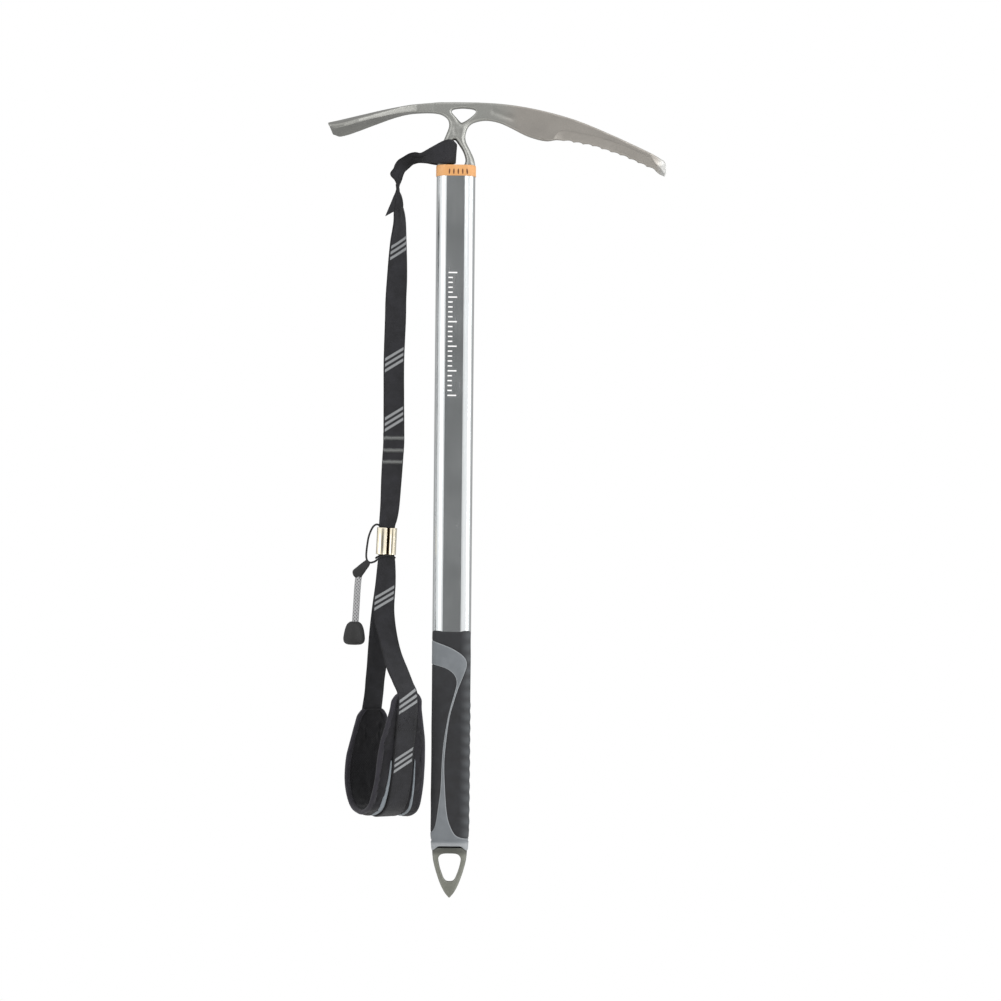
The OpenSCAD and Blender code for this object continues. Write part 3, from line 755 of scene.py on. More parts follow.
def collar_marks():
    """Five short dark ticks, each leaning a little differently."""
    shape = Shape()
    a = turn(8)
    for k in range(5):
        middle = SHAFT_X + (k - 2) * 3.6 + 2
        lean = 0.35 * noise1(k * 3.1, 5, 1)
        rings = []
        for t in np.linspace(0, 1, 9):
            w = 0.62 * math.sin(math.pi * (0.12 + 0.76 * t)) + 0.05
            x = middle + lean * (t - 0.5) + w * np.cos(a)
            y = COLLAR_FRONT + 0.16 * np.sin(a) * (0.3 + w)
            z = COLLAR_TOP - 5.6 + (t - 0.5) * 4.4
            rings.append(np.column_stack([x, y, np.full(8, z)]))
        shape.loft(rings)
    return shape.build("collar_marks", MARK)


def printed_scale():
    """A plain scale of short bars, every fifth one long."""
    shape = Shape()
    left = SHAFT_X - 5.2
    y = SHAFT_FRONT - 0.015
    for k in range(26):
        z = -130 - 4.0 * k
        right = left + (7.2 if k % 5 == 0 else 3.6)
        inner = [(left, y, z - 0.55), (right, y, z - 0.55), (right, y, z + 0.55), (left, y, z + 0.55)]
        outer = [(a, b - 0.03, c) for a, b, c in inner]
        shape.add(inner + outer, [(0, 1, 2, 3), (7, 6, 5, 4), (0, 4, 5, 1), (1, 5, 6, 2), (2, 6, 7, 3),
                                  (3, 7, 4, 0)])
    return shape.build("printed_scale", WHITE_PAINT)


shaft = shaft_piece()
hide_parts("shaft_tube")
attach(shaft, "axe")

collar = collar_piece()
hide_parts("shaft_collar")
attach(collar, "axe")

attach(collar_marks(), "axe")
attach(printed_scale(), "axe")


# ---------------------------------------------------------------- grip and its inlay

OVERLAY_RIGHT = [(-18, 211), (-9, 208), (0, 204.4), (8, 199.6), (12, 195), (12.8, 189.6), (10, 181.6),
                 (6, 171.5), (2.4, 160), (-1, 147), (-3.6, 127), (-4.8, 110), (-4.1, 90), (-2.2, 69),
                 (1.4, 57.4), (6.5, 51), (18, 48.4)]
OVERLAY_LEFT = [(-18, 51.5), (-12.4, 58), (-9.6, 74), (-7.6, 91), (-6.9, 110), (-5.6, 127), (-2.6, 146),
                (0.2, 158), (3.8, 171), (4.6, 177.5), (2, 183.4), (-5, 188.2), (-18, 191.5)]


GRIP_HALF = 15.75
GRIP_DEEP = 10.4
GRIP_CORNER = 8.4


def half_section():
    """The front half of the grip's section from its left side to its right: points and outward normals."""
    wide, deep = GRIP_HALF - GRIP_CORNER, GRIP_DEEP - GRIP_CORNER
    points = [(-GRIP_HALF, 0.0), (-GRIP_HALF, -deep)]
    normals = [(-1.0, 0.0), (-1.0, 0.0)]
    left = [(-wide, math.pi + math.pi / 2 * k / 24) for k in range(1, 25)]
    right = [(wide, 1.5 * math.pi + math.pi / 2 * k / 24) for k in range(25)]
    for x, a in left + right:
        points.append((x + GRIP_CORNER * math.cos(a), -deep + GRIP_CORNER * math.sin(a)))
        normals.append((math.cos(a), math.sin(a)))
    return np.array(points + [(GRIP_HALF, 0.0)]), np.array(normals + [(1.0, 0.0)])


SECTION, SECTION_NORMALS = half_section()
SECTION_RUN = lengths(SECTION)
HALF_WAY = SECTION_RUN[-1]


def across(x):
    """How far round the section the place x is. Past the sides of the grip it is past an end."""
    if abs(x) < GRIP_HALF:
        return float(np.interp(x, SECTION[:, 0], SECTION_RUN))
    return -2.0 if x < 0 else HALF_WAY + 2


def grip_dots(edge_lines):
    """Places on the unrolled grip: an even grid, and close rows along the inlay's edge lines."""
    pitch = 0.85
    columns, rows = int(HALF_WAY / pitch), int((GRIP_HEIGHT - GRIP_FOOT) / pitch)
    dots = np.array([(HALF_WAY * i / columns, GRIP_FOOT + (GRIP_HEIGHT - GRIP_FOOT) * k / rows)
                     for k in range(rows + 1) for i in range(columns + 1)])
    s, z = dots.T
    near = np.minimum(*[distance_to(s, z, line) for line in edge_lines])
    rim = (s < 1e-6) | (s > HALF_WAY - 1e-6) | (z < GRIP_FOOT + 1e-6) | (z > GRIP_HEIGHT - 1e-6)
    dots = [dots[(near > 0.4) | rim]]
    for line in edge_lines:
        fine = evenly(line, line, 0.6)
        t = unit(np.gradient(fine, axis=0))
        side = np.column_stack([-t[:, 1], t[:, 0]])
        for off in (-0.3, 0.3):
            q = fine + side * off
            dots.append(q[(q[:, 0] > 0.2) & (q[:, 0] < HALF_WAY - 0.2) & (q[:, 1] > GRIP_FOOT + 0.2)])
    return np.concatenate(dots)


def grip_triangles(edge_lines):
    """The unrolled grip cut into triangles: their points, and which of them are grip and which inlay."""
    right, left = [[tuple(p) for p in line] for line in edge_lines]
    loop = right + [(HALF_WAY + 2, GRIP_FOOT - 1), (-2.0, GRIP_FOOT - 1)] + left
    loop = [p for i, p in enumerate(loop) if i == 0 or math.dist(p, loop[i - 1]) > 0.05][::-1]
    whole = [(0.0, GRIP_FOOT), (HALF_WAY, GRIP_FOOT), (HALF_WAY, GRIP_HEIGHT), (0.0, GRIP_HEIGHT)]
    verts = [Vector(p) for p in whole + loop + grip_dots(edge_lines).tolist()]
    faces = [[0, 1, 2, 3], list(range(4, 4 + len(loop)))]
    out, _, triangles, _, _, _ = geometry.delaunay_2d_cdt(verts, [], faces, 1, 1e-4)
    flat = np.array([(p.x, p.y) for p in out])
    middles = np.array([flat[list(triangle)].mean(0) for triangle in triangles])
    overlaid = inside(middles[:, 0], middles[:, 1], np.array(loop))
    pieces = {"grip": [], "inlay": []}
    for triangle, middle, in_inlay in zip(triangles, middles, overlaid):
        if 0 < middle[0] < HALF_WAY and GRIP_FOOT < middle[1] < GRIP_HEIGHT:
            pieces["inlay" if in_inlay else "grip"].append(list(triangle))
    return flat, pieces


def grip_lift(name, s, z, x, gap):
    """How far the rubber stands out at each place: ridges on the right, a groove along the inlay."""
    if name == "grip":
        on_side = ease(x, 4.5, 9.5) * (1 - 0.6 * ease(x, 11.5, 15.2))
        ridge = 0.5 + 0.5 * np.cos(2 * math.pi * (z - RIDGE_START) / RIDGE_PITCH)
        zone = ease(z, 53, 58) * (1 - ease(z, 156, 163))
        lift = 1.1 * on_side * zone * (ridge ** 0.8) - 0.3 * on_side * zone
        lift += -0.42 * (1 - ease(gap, 0.0, 0.9))
        lift += 0.12 * noise2(s, z, 11, 14)
    else:
        lift = 0.34 * ease(gap, 0.0, 0.55) - 0.16
        lift += 0.05 * noise2(s, z, 12, 10)
    lift += -0.75 * (1 - ease(GRIP_HEIGHT - z, 0, 2.2)) ** 2
    # the ring at the foot: narrower than the grip, with a line round it
    lift += -1.2 * (1 - ease(z, 39, 56)) - 0.45 * np.exp(-((z - 47.2) / 0.8) ** 2)
    lift += 0.3 * (1 - ease(z, 45.4, 47.0)) - 0.5 * (1 - ease(z, GRIP_FOOT, GRIP_FOOT + 1.5))
    return lift


def open_edges(faces):
    """The edges that belong to one face only."""
    edges = {(a, b) for f in faces for a, b in zip(f, f[1:] + f[:1])}
    return [(a, b) for f in faces for a, b in zip(f, f[1:] + f[:1]) if (b, a) not in edges]


def grip_piece(name, look, flat, ids, edge_lines):
    """The rubber over one set of triangles, 1.7 mm thick, on the front and mirrored on the back."""
    used = sorted({i for f in ids for i in f})
    back = {k: i for i, k in enumerate(used)}
    s, z = flat[used].T
    base = np.stack([np.interp(s, SECTION_RUN, SECTION[:, k]) for k in (0, 1)], 1)
    normal = unit(np.stack([np.interp(s, SECTION_RUN, SECTION_NORMALS[:, k]) for k in (0, 1)], 1))
    gap = np.minimum(*[distance_to(s, z, line) for line in edge_lines])
    foot = ease(base[:, 0] ** 2, 60, 250)
    height = z + (43.0 - 4.0 * foot - GRIP_FOOT) * (1 - ease(z, GRIP_FOOT, GRIP_FOOT + 8)) + TIP_Z
    outer = base + normal * grip_lift(name, s, z, base[:, 0], gap)[:, None]
    inner = base - normal * 1.7
    points = np.concatenate([np.column_stack([q[:, 0] + SHAFT_X, q[:, 1], height]) for q in (outer, inner)])
    n = len(used)
    faces = [[back[i] for i in f] for f in ids]
    walls = []
    for a, b in open_edges(faces):
        on_seam = max(s[a], s[b]) < 1e-4 or min(s[a], s[b]) > HALF_WAY - 1e-4
        if not on_seam:
            walls.append([b, a, n + a, n + b])
    faces += [[n + k for k in f[::-1]] for f in faces] + walls
    maps = [[(gap[k % n], z[k % n]) for k in f] for f in faces]
    shape = Shape()
    for mirror in (1, -1):
        shape.add(points * [1, mirror, 1], faces, maps)
    obj = shape.build(name, look, 50)
    outward(obj.data, WELD)
    return obj


def grip_and_inlay():
    edge_lines = [np.array([(across(x), z) for x, z in smooth(line, 5)])
                  for line in (OVERLAY_RIGHT, OVERLAY_LEFT)]
    flat, pieces = grip_triangles(edge_lines)
    return [grip_piece(name, look, flat, pieces[name], edge_lines)
            for name, look in (("grip", GRIP), ("inlay", INLAY))]


grip, inlay = grip_and_inlay()
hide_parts("grip_sleeve")
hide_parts("grip_overlay")
for piece in (grip, inlay):
    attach(piece, "axe")


# ---------------------------------------------------------------- spike

# half the width and half the depth at heights above the point, and the right side of the hole
SPIKE_WIDE = [(0.3, -0.3), (1.2, 0.9), (4.1, 4.6), (7.4, 11), (9.8, 17.4), (11.9, 24.2), (13.5, 31),
              (14.2, 38), (14.2, 46)]
SPIKE_DEEP = [(0.3, -0.3), (0.9, 1.4), (2.2, 6), (2.8, 16), (3.3, 25), (5.0, 31.5), (7.6, 36.5),
              (8.7, 40), (8.7, 46)]
SPIKE_HOLE = [(2.4, 13.7), (4.0, 15.0), (5.3, 17.4), (7.7, 24), (9.1, 30.4), (9.0, 33.0), (7.4, 35.5),
              (4.6, 36.6)]


def spike_field(step):
    """Signed distances for the spike: a pointed body with a rounded hole through it."""
    half_w = smooth(SPIKE_WIDE, 6)
    half_d = smooth(SPIKE_DEEP, 6)
    hole = smooth_loop([(0, 13.4)] + SPIKE_HOLE + [(0, 36.8)] + [(-a, b) for a, b in SPIKE_HOLE[::-1]], 5)
    x = np.arange(-16.5, 16.6, step)
    y = np.arange(-10.8, 10.9, step)
    z = np.arange(-1.8, 42.6, step)
    a = np.interp(z, half_w[:, 1], half_w[:, 0], left=0.05)[None, None, :]
    b = np.interp(z, half_d[:, 1], half_d[:, 0], left=0.05)[None, None, :]
    n = (2.6 + 1.8 * (1 - ease(z, 24, 37)))[None, None, :]
    ax, ay = np.abs(x)[:, None, None] / a, np.abs(y)[None, :, None] / b
    reach = (a * b / np.sqrt((a * ay) ** 2 + (b * ax) ** 2 + 1e-6) * np.sqrt(ax ** 2 + ay ** 2 + 1e-6))
    body = ((ax ** n + ay ** n) ** (1 / n) - 1) * reach
    body = np.maximum(body, -z[None, None, :])
    gx, gz = np.meshgrid(x, z, indexing="ij")
    bore = -signed(gx, gz, hole)[:, None, :] + 0 * body
    body = -soft_or(-body, -bore, 1.3)
    body = np.maximum(body, z[None, None, :] - 41.6)
    return body, (x[0] + SHAFT_X, y[0], z[0] + TIP_Z), step


spike = field_mesh("spike_point", *spike_field(0.3), SPIKE_STEEL, "spike_steel")
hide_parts("spike")
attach(spike, "axe")
# the rivets have no finer piece: the part's own solids are shown
for hidden in ("head_rivets", "spike_rivet"):
    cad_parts[hidden].data.materials.clear()
    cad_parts[hidden].data.materials.append(SPIKE_STEEL)


# ---------------------------------------------------------------- leash webbing

def tape(rows, step=0.9, cols=17, thickness=TAPE, ribs=None):
    """Rings and maps of webbing between two rails, and its centre line.
    rows are (left x, y, z, right x, y, z, bulge, crease); bulge lifts the middle and crease folds it
    lengthwise. ribs are the two distances along it between which it is wrinkled across."""
    rows = smooth(rows, 10)
    rows = evenly(rows, (rows[:, 0:3] + rows[:, 3:6]) / 2, step)
    left, right, bulge, crease = rows[:, 0:3], rows[:, 3:6], rows[:, 6], rows[:, 7]
    middle, half = (left + right) / 2, (right - left) / 2
    t = unit(np.gradient(middle, axis=0))
    n = unit(np.cross(t, half))
    s = lengths(middle)
    rib = np.zeros(len(s))
    if ribs:
        rib = 0.2 * ease(s, ribs[0], ribs[0] + 3) * (1 - ease(s, ribs[1] - 3, ribs[1]))
    w = np.linalg.norm(half, axis=1)
    edge = np.linspace(0, 1, 5)[:-1] ** 1.6
    inner = np.linspace(-1, 1, cols - 6)
    r = thickness / 2
    rings = []
    for i in range(len(rows)):
        e = min(r / w[i], 0.45)
        u = np.concatenate([-1 + e * edge, inner[1:-1] * (1 - e), (1 - e * edge)[::-1]])
        h = r * np.sqrt(np.maximum(1 - np.clip((np.abs(u) - (1 - e)) / e, 0, 1) ** 2, 0))
        f = bulge[i] * (1 - u * u) + crease[i] * np.cos(2.5 * math.pi * u + 0.25 * noise1(s[i], 3, 9))
        df = -2 * bulge[i] * u - crease[i] * 2.5 * math.pi * np.sin(2.5 * math.pi * u)
        ripple = 0.07 * noise2(u * 9, s[i] + 0 * u, 21, 6) + rib[i] * math.sin(s[i] * 3.4) * (1 - 0.5 * u * u)
        line = middle[i] + half[i] * u[:, None] + n[i] * (f + ripple)[:, None]
        out = unit(np.cross(t[i], half[i] + n[i] * df[:, None]))
        rings.append(np.concatenate([line + out * h[:, None], (line - out * h[:, None])[::-1]]))
    u = (u + 1) / 2 * TAPE_WIDTH
    us = np.concatenate([u, 2 * TAPE_WIDTH - u[::-1], [2 * TAPE_WIDTH]])
    return np.array(rings), us, s, middle


def flat_rows(stations):
    """Tape rows from (x, y, z, width, turn of the width away from X in degrees, bulge, crease)."""
    rows = []
    for x, y, z, w, angle, bulge, crease in stations:
        c, s = math.cos(math.radians(angle)) * w / 2, math.sin(math.radians(angle)) * w / 2
        rows.append((x - c, y - s, z, x + c, y + s, z, bulge, crease))
    return rows


def tape_part(name, whole, look, first=None, last=None):
    """The part of a whole tape's skin between two of its rings."""
    rings, us, vs, _ = whole
    return lofted(name, rings[first:last], look, 55, us, vs[first:last])


# outer x, z and inner x, z from the pinch up the arch and along to the leg, with y, bulge and crease
HITCH_EDGES = [
    (-53.8, -58.8, -52.2, -58.8, -0.75, 0.7, 0.1), (-54.3, -57.0, -51.4, -57.6, -0.8, 1.0, 0.3),
    (-55.8, -53.6, -50.4, -55.4, -0.9, 1.3, 0.55), (-58.6, -50.6, -49.7, -53.6, -0.9, 1.3, 0.8),
    (-59.0, -48.0, -49.2, -51.6, -0.95, 1.4, 0.75), (-56.6, -44.6, -48.3, -49.0, -1.0, 1.8, 0.45),
    (-55.5, -41.6, -47.2, -47.0, -1.0, 2.0, 0.3), (-53.0, -37.9, -45.3, -45.3, -1.0, 2.0, 0.25),
    (-48.5, -35.0, -43.2, -43.3, -1.0, 1.8, 0.3), (-43.8, -32.3, -40.6, -41.1, -1.0, 1.4, 0.55),
    (-39.1, -31.3, -37.9, -40.2, -1.0, 0.5, 0.95), (-35.4, -31.9, -35.8, -39.7, -1.2, 0.1, 0.8),
    (-33.2, -31.3, -33.0, -39.7, -2.2, 0.3, 0.4), (-28.2, -28.7, -28.6, -39.9, -4.7, 0.3, 0.1),
    (-22.2, -25.5, -23.0, -40.7, -6.4, 0.1, 0), (-16.2, -22.4, -17.0, -41.0, -7.0, 0.1, 0),
    (-11.8, -21.1, -12.2, -40.8, -6.5, 0, 0), (-8.2, -21.7, -9.2, -40.6, -4.8, 0, 0),
    (-6.2, -23.3, -7.2, -40.3, -2.5, 0, 0), (-5.5, -24.3, -6.5, -40.2, 0, 0, 0)]


def hitch_piece():
    """The doubled loop: down the front of the head's leg, through the eye and back the same way behind."""
    rows = [(ox, y, oz, ix, y, iz, b, c) for ox, oz, ix, iz, y, b, c in HITCH_EDGES]
    rows += [(ox, -y, oz, ix, -y, iz, b, c) for ox, oz, ix, iz, y, b, c in HITCH_EDGES[-2::-1]]
    whole = tape(rows, step=0.45, cols=27, ribs=(12, 33))
    # the arch of the hitch is painted dark as shade
    look = webbing_look("hitch_webbing", painted_shade_span=(27.5, 13, whole[2][-1]))
    return tape_part("hitch_webbing", whole, look)


hitch = hitch_piece()
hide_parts("hitch_loop", "leash_knot")
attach(hitch, "axe")


def twisted(levels, turns):
    """A tightly twisted bunch of tape through levels of (x, y, z, radius)."""
    rows = smooth(levels, 8)
    a = turn(20)
    rings = []
    for i, (x, y, z, r) in enumerate(rows):
        rr = r * (1 + 0.16 * np.cos(3 * a + turns * 2 * math.pi * i / len(rows)))
        rings.append(np.column_stack([x + rr * np.cos(a), y + rr * np.sin(a), np.full(20, z)]))
    return rings


NECK_ABOVE = [(-53.1, 0, -56.6, 1.0), (-53.1, 0, -57.6, 1.6), (-53, 0, -59.3, 1.45), (-53, 0, -61, 1.3)]
NECK_BELOW = [(-53, 0, -60.6, 1.2), (-53, 0, -61.2, 1.35), (-53, 0, -63, 1.6), (-53, 0, -65.4, 2.0),
              (-53, 0, -66.6, 1.2)]
neck_top = lofted("neck_above", twisted(NECK_ABOVE, 0.5), WEBBING, 60)
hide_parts("strap_neck")
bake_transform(neck_top)
neck_low = lofted("neck_below", twisted(NECK_BELOW, 0.6), WEBBING, 60)
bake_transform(neck_low)

# left x, y, z, right x, y, z, bulge and crease from the pinch to the slanted cut
TAIL = [(-53.8, -1.2, -62.2, -52.2, -1.2, -62.2, 0.3, 0),
        (-55.0, -1.7, -64.8, -50.9, -1.8, -64.8, 0.5, 0.15),
        (-56.1, -2.1, -67.3, -49.8, -2.4, -67.0, 0.7, 0.2),
        (-57.8, -2.5, -71.6, -48.9, -3.0, -70.0, 0.8, 0.15),
        (-59.4, -2.9, -75.5, -48.4, -3.3, -72.6, 0.7, 0.1),
        (-61.2, -3.3, -79.8, -48.2, -3.5, -74.6, 0.6, 0),
        (-62.9, -3.8, -84.0, -48.2, -3.6, -76.2, 0.5, 0)]
tail = tape_part("tail_webbing", tape(TAIL, thickness=1.3), WEBBING)
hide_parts("leash_tail")
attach(tail, "leash")

# centre x, y, z, width, turn, bulge and crease down the strap to the middle of the slider
STRAP = [(-53.0, 0.2, -62.6, 3.2, 86, 0, 0.1), (-53.0, 0.3, -66.0, 6.5, 78, 0.4, 0.3),
         (-52.7, 0.3, -72.0, 10.0, 62, 0.6, 0.3), (-51.9, 0.2, -80.2, 12.8, 50, 0.7, 0.2),
         (-51.3, 0.1, -88.0, 14.9, 51, 0.6, 0.1), (-51.6, 0, -96.0, 16.6, 49, 0.5, 0),
         (-52.1, 0, -104.0, 17.2, 43, 0.4, 0), (-52.5, 0, -119.0, 17.3, 31, 0.3, 0),
         (-53.0, 0, -136.0, 17.4, 19, 0.2, 0), (-53.7, 0, -152.0, 17.4, 12, 0.1, 0),
         (-53.9, 0, -168.5, 17.4, 9, 0, 0), (-54.8, 0, -201.0, 17.3, 14, 0, 0),
         (-54.6, -0.3, -230.0, 17.3, 14, 0, 0), (-54.3, -0.8, -255.0, 17.3, 10, 0, 0),
         (-54.3, -0.95, -270.0, 17.3, 4, 0, 0), (-55.2, -0.95, -285.0, 17.2, 0, 0, 0),
         (-56.0, -0.95, -300.0, 16.8, 0, 0, 0), (-56.8, -0.95, -317.0, 15.9, 0, 0.1, 0.05),
         (-57.4, -0.98, -325.0, 15.4, 0, 0.1, 0.08), (-58.2, -1.0, -331.5, 14.6, 0, 0.2, 0.1),
         (-59.0, -1.0, -336.0, 13.4, 0, 0.2, 0.12), (-59.2, -1.0, -340.0, 12.4, 0, 0.2, 0.12),
         (-59.5, -1.0, -349.3, 12.2, 0, 0.2, 0.12)]
STRAP_CUT = -79.0
whole_strap = tape(flat_rows(STRAP))
strap_rings, _, _, strap_middle = whole_strap
strap_cut = int(np.argmin(np.abs(strap_middle[:, 2] - STRAP_CUT)))
STRAP_LOOK = webbing_look("strap_webbing", [47, 138.5, 187])
strap_top = tape_part("strap_top", whole_strap, STRAP_LOOK, None, strap_cut + 1)
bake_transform(strap_top)
strap = tape_part("strap", whole_strap, STRAP_LOOK, strap_cut)
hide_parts("strap_upper", "strap_gather")
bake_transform(strap)

# the sewn second layer behind the strap's lower end
BACK = [(-54.5, 0.75, -261.0, 17.2, 4, 0, 0), (-54.4, 0.8, -270.0, 17.2, 2, 0, 0),
        (-55.2, 0.8, -285.0, 17.2, 0, 0, 0), (-56.0, 0.8, -300.0, 16.8, 0, 0, 0),
        (-56.8, 0.8, -317.0, 15.9, 0, -0.1, -0.05), (-57.4, 0.83, -325.0, 15.4, 0, -0.1, -0.08),
        (-58.2, 0.85, -331.5, 14.6, 0, -0.2, -0.1), (-59.0, 0.88, -336.0, 13.4, 0, -0.2, -0.12),
        (-59.2, 0.9, -340.0, 12.4, 0, -0.2, -0.12), (-59.5, 0.9, -349.3, 12.2, 0, -0.2, -0.12)]
strap_back = tape_part("strap_lower_layer", tape(flat_rows(BACK)), WEBBING)
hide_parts("strap_return")
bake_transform(strap_back)

# ---------------------------------------------------------------- strands and cuff

CUFF_X = -59.5
CUFF_YAW = math.radians(28)
CUFF_DROOP = 3.2
SHOULDER_FRONT = -474
SHOULDER_BACK = -480
# the cuff's loop seen along its width: distance towards the front, and height
CUFF_LINE = [(33.2, -471.6), (31.6, -500), (29, -524), (26.6, -545), (19.6, -561.4), (8, -568.4),
             (-4, -569.6), (-17.4, -565), (-26.4, -551), (-28.6, -530), (-26.4, -508), (-23.4, -488)]
# how far the front half leans to the right, by height
CUFF_LEAN = [(-556, 0), (-544, 0.4), (-532, 0.9), (-517, 1.3), (-501, 2.1), (-482, 3.2), (-470, 4.2)]
# half the pad's width at distances along it from its nearer end
PAD_HALF = [(0, 8.0), (1.2, 9.6), (3, 11.0), (6, 12.8), (12, 14.2), (20, 16.0), (30, 18.2), (40, 20.3),
            (55, 21.7), (70, 22.0)]


def cuff_place(plan, heading, off, w):
    """Points of the cuff: plan is (u, z) on its curve, heading its direction, off outwards and w across.
    The right edge droops along the bottom, and the front half leans to the right."""
    out = np.stack([-heading[:, 1], heading[:, 0]], 1)
    q = plan[:, None] + out[:, None] * np.asarray(off)[..., None]
    c, s = math.cos(CUFF_YAW), math.sin(CUFF_YAW)
    lean = smooth(CUFF_LEAN, 4)
    lean = np.where(plan[:, 0] > 0, np.interp(plan[:, 1], lean[:, 0], lean[:, 1]), 0)
    w = np.broadcast_to(w, q.shape[:2])
    q[..., 1] -= CUFF_DROOP * ease(w, 8, 21) * ease(-plan[:, 1], 550, 566)[:, None]
    w = w + lean[:, None]
    return np.stack([CUFF_X + q[..., 0] * s + w * c, -q[..., 0] * c + w * s, q[..., 1]], -1)


def cuff_curve(step):
    """The cuff's loop at even steps: its points, its directions and how far along each is."""
    plan = smooth(CUFF_LINE, 12)
    plan = evenly(plan, plan, step)
    return plan, unit(np.gradient(plan, axis=0)), lengths(plan)


def pad_half(run):
    """Half the pad's width at each distance along it."""
    line = smooth(PAD_HALF, 6)
    narrowed = 1.1 * (ease(run, 3, 15) - ease(run, 62, 90))
    return np.interp(np.minimum(run, run[-1] - run), line[:, 0], line[:, 1]) - narrowed


# left x, y, z, right x, y, z, bulge and crease from the slider down to the cuff's shoulders
FRONT_EDGES = [(-65.6, -1.0, -349.3, -53.4, -1.0, -349.3, 0.2, 0.12),
               (-65.9, -1.0, -360.0, -53.1, -1.0, -360.0, 0.2, 0.12),
               (-66.6, -0.95, -367.0, -52.1, -0.95, -367.0, 0.2, 0.08),
               (-68.2, -0.95, -384.0, -51.6, -0.95, -384.0, 0.1, 0),
               (-69.9, -1.0, -403.0, -52.5, -1.0, -403.0, 0, 0),
               (-68.7, -1.5, -416.0, -51.5, -1.4, -416.0, 0, 0),
               (-64.8, -3.8, -429.0, -49.2, -3.0, -429.0, 0.2, 0),
               (-61.4, -10.6, -441.0, -45.8, -7.4, -441.0, 0.3, 0),
               (-57.3, -19.0, -453.0, -40.6, -12.6, -453.0, 0.3, 0),
               (-52.2, -26.0, -463.4, -36.3, -18.4, -463.0, 0.2, 0)]
BACK_EDGES = [(-65.6, 0.9, -349.3, -53.4, 0.9, -349.3, -0.2, -0.12),
              (-65.9, 0.9, -360.0, -53.1, 0.9, -360.0, -0.2, -0.12),
              (-66.6, 0.85, -367.0, -52.1, 0.85, -367.0, -0.2, -0.08),
              (-68.3, 0.85, -384.0, -51.7, 0.85, -384.0, 0, 0),
              (-70.9, 0.9, -404.0, -53.6, 0.9, -404.0, 0, 0),
              (-73.0, 2.4, -424.0, -55.6, 2.6, -424.0, 0, 0),
              (-74.5, 7.4, -443.0, -57.8, 10.8, -443.0, -0.1, 0),
              (-75.2, 10.2, -453.0, -59.2, 15.2, -453.0, -0.1, 0),
              (-76.2, 13.0, -464.0, -60.8, 20.0, -464.0, 0, 0),
              (-77.1, 15.3, -475.0, -61.8, 23.2, -475.0, 0, 0)]


def loop_rows():
    """Tape rows down the front strand, round the outside of the cuff and up the back strand."""
    plan = np.array(CUFF_LINE, float)
    curve, heading, run = cuff_curve(1.0)
    near = [int(np.argmin(np.linalg.norm(curve - q, axis=1))) for q in plan]
    near[0], near[-1] = 3, len(curve) - 4
    from_end = np.minimum(run[near], run[-1] - run[near])
    off = (1.7 + 1.9 * ease(from_end, 0, 22))[:, None]
    half = 9.0 - 0.1 * ease(from_end, 0, 40)
    left = cuff_place(curve[near], heading[near], off, -half[:, None])[:, 0]
    right = cuff_place(curve[near], heading[near], off, half[:, None])[:, 0]
    round_cuff = [(*a, *b, 0.0, 0.0) for a, b in zip(left, right)]
    return FRONT_EDGES + round_cuff + BACK_EDGES[::-1]


whole_loop = tape(loop_rows())
_, _, loop_vs, loop_line = whole_loop
lowest = int(np.argmin(loop_line[:, 2]))
front_cut = int(np.argmin(np.abs(loop_line[:lowest, 2] - SHOULDER_FRONT)))
back_cut = lowest + int(np.argmin(np.abs(loop_line[lowest:, 2] - SHOULDER_BACK)))
cuff_print = float(np.interp(525.5, -loop_line[:lowest, 2], loop_vs[:lowest]))
shoulder_print = float(np.interp(478.0, -loop_line[:lowest, 2], loop_vs[:lowest]))
LOOP_LOOK = webbing_look("loop_webbing", [46.5, shoulder_print, cuff_print])

strand_front = tape_part("strand_front_tape", whole_loop, LOOP_LOOK, 0, front_cut + 1)
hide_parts("strand_front")
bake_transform(strand_front)
strand_back = tape_part("strand_back_tape", whole_loop, LOOP_LOOK, back_cut)
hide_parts("strand_back")
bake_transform(strand_back)
cuff_webbing = tape_part("cuff_webbing", whole_loop, LOOP_LOOK, front_cut, back_cut + 1)
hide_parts("cuff_strap")
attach(cuff_webbing, "leash")


def pad_grid():
    """The cuff's padded body as a pillow: places on its outer and inner side, and the plane between."""
    plan, heading, run = cuff_curve(1.7)
    h = pad_half(run)
    u = np.linspace(-1, 1, 31)
    w = h[:, None] * u[None]
    from_end = np.minimum(run, run[-1] - run)
    ends = ease(from_end, 0, 14)[:, None]
    rim = ease(h[:, None] - np.abs(w), 0, 5.0)
    # the sewn lines: under the webbing's edges outside, two channels inside
    outer_dip = np.exp(-((np.abs(w) - 9.4) / 1.1) ** 2)
    inner_dip = np.exp(-((np.abs(w) - 6.2) / 1.0) ** 2) * ease(from_end, 0, 16)[:, None]
    thick = 0.9 + 1.5 * rim * (0.45 + 0.55 * ends)
    outer = cuff_place(plan, heading, thick * (1 - 0.18 * outer_dip), w)
    inner = cuff_place(plan, heading, -thick * (1 - 0.35 * inner_dip), w)
    fixed_out = (outer_dip > 0.5) | (np.abs(u) > 0.97)[None] | (ends < 0.05)
    fixed_in = (inner_dip > 0.5) | (np.abs(u) > 0.97)[None] | (ends < 0.05)
    return outer, inner, cuff_place(plan, heading, 0 * w, w), fixed_out, fixed_in, run, w


SWELL = 1.5
CLOTH = {"quality": 6, "mass": 0.2, "tension_stiffness": 12, "compression_stiffness": 12,
         "shear_stiffness": 4, "bending_stiffness": 0.2, "use_pressure": True,
         "uniform_pressure_force": 4, "shrink_min": -0.045, "vertex_group_mass": "sewn"}


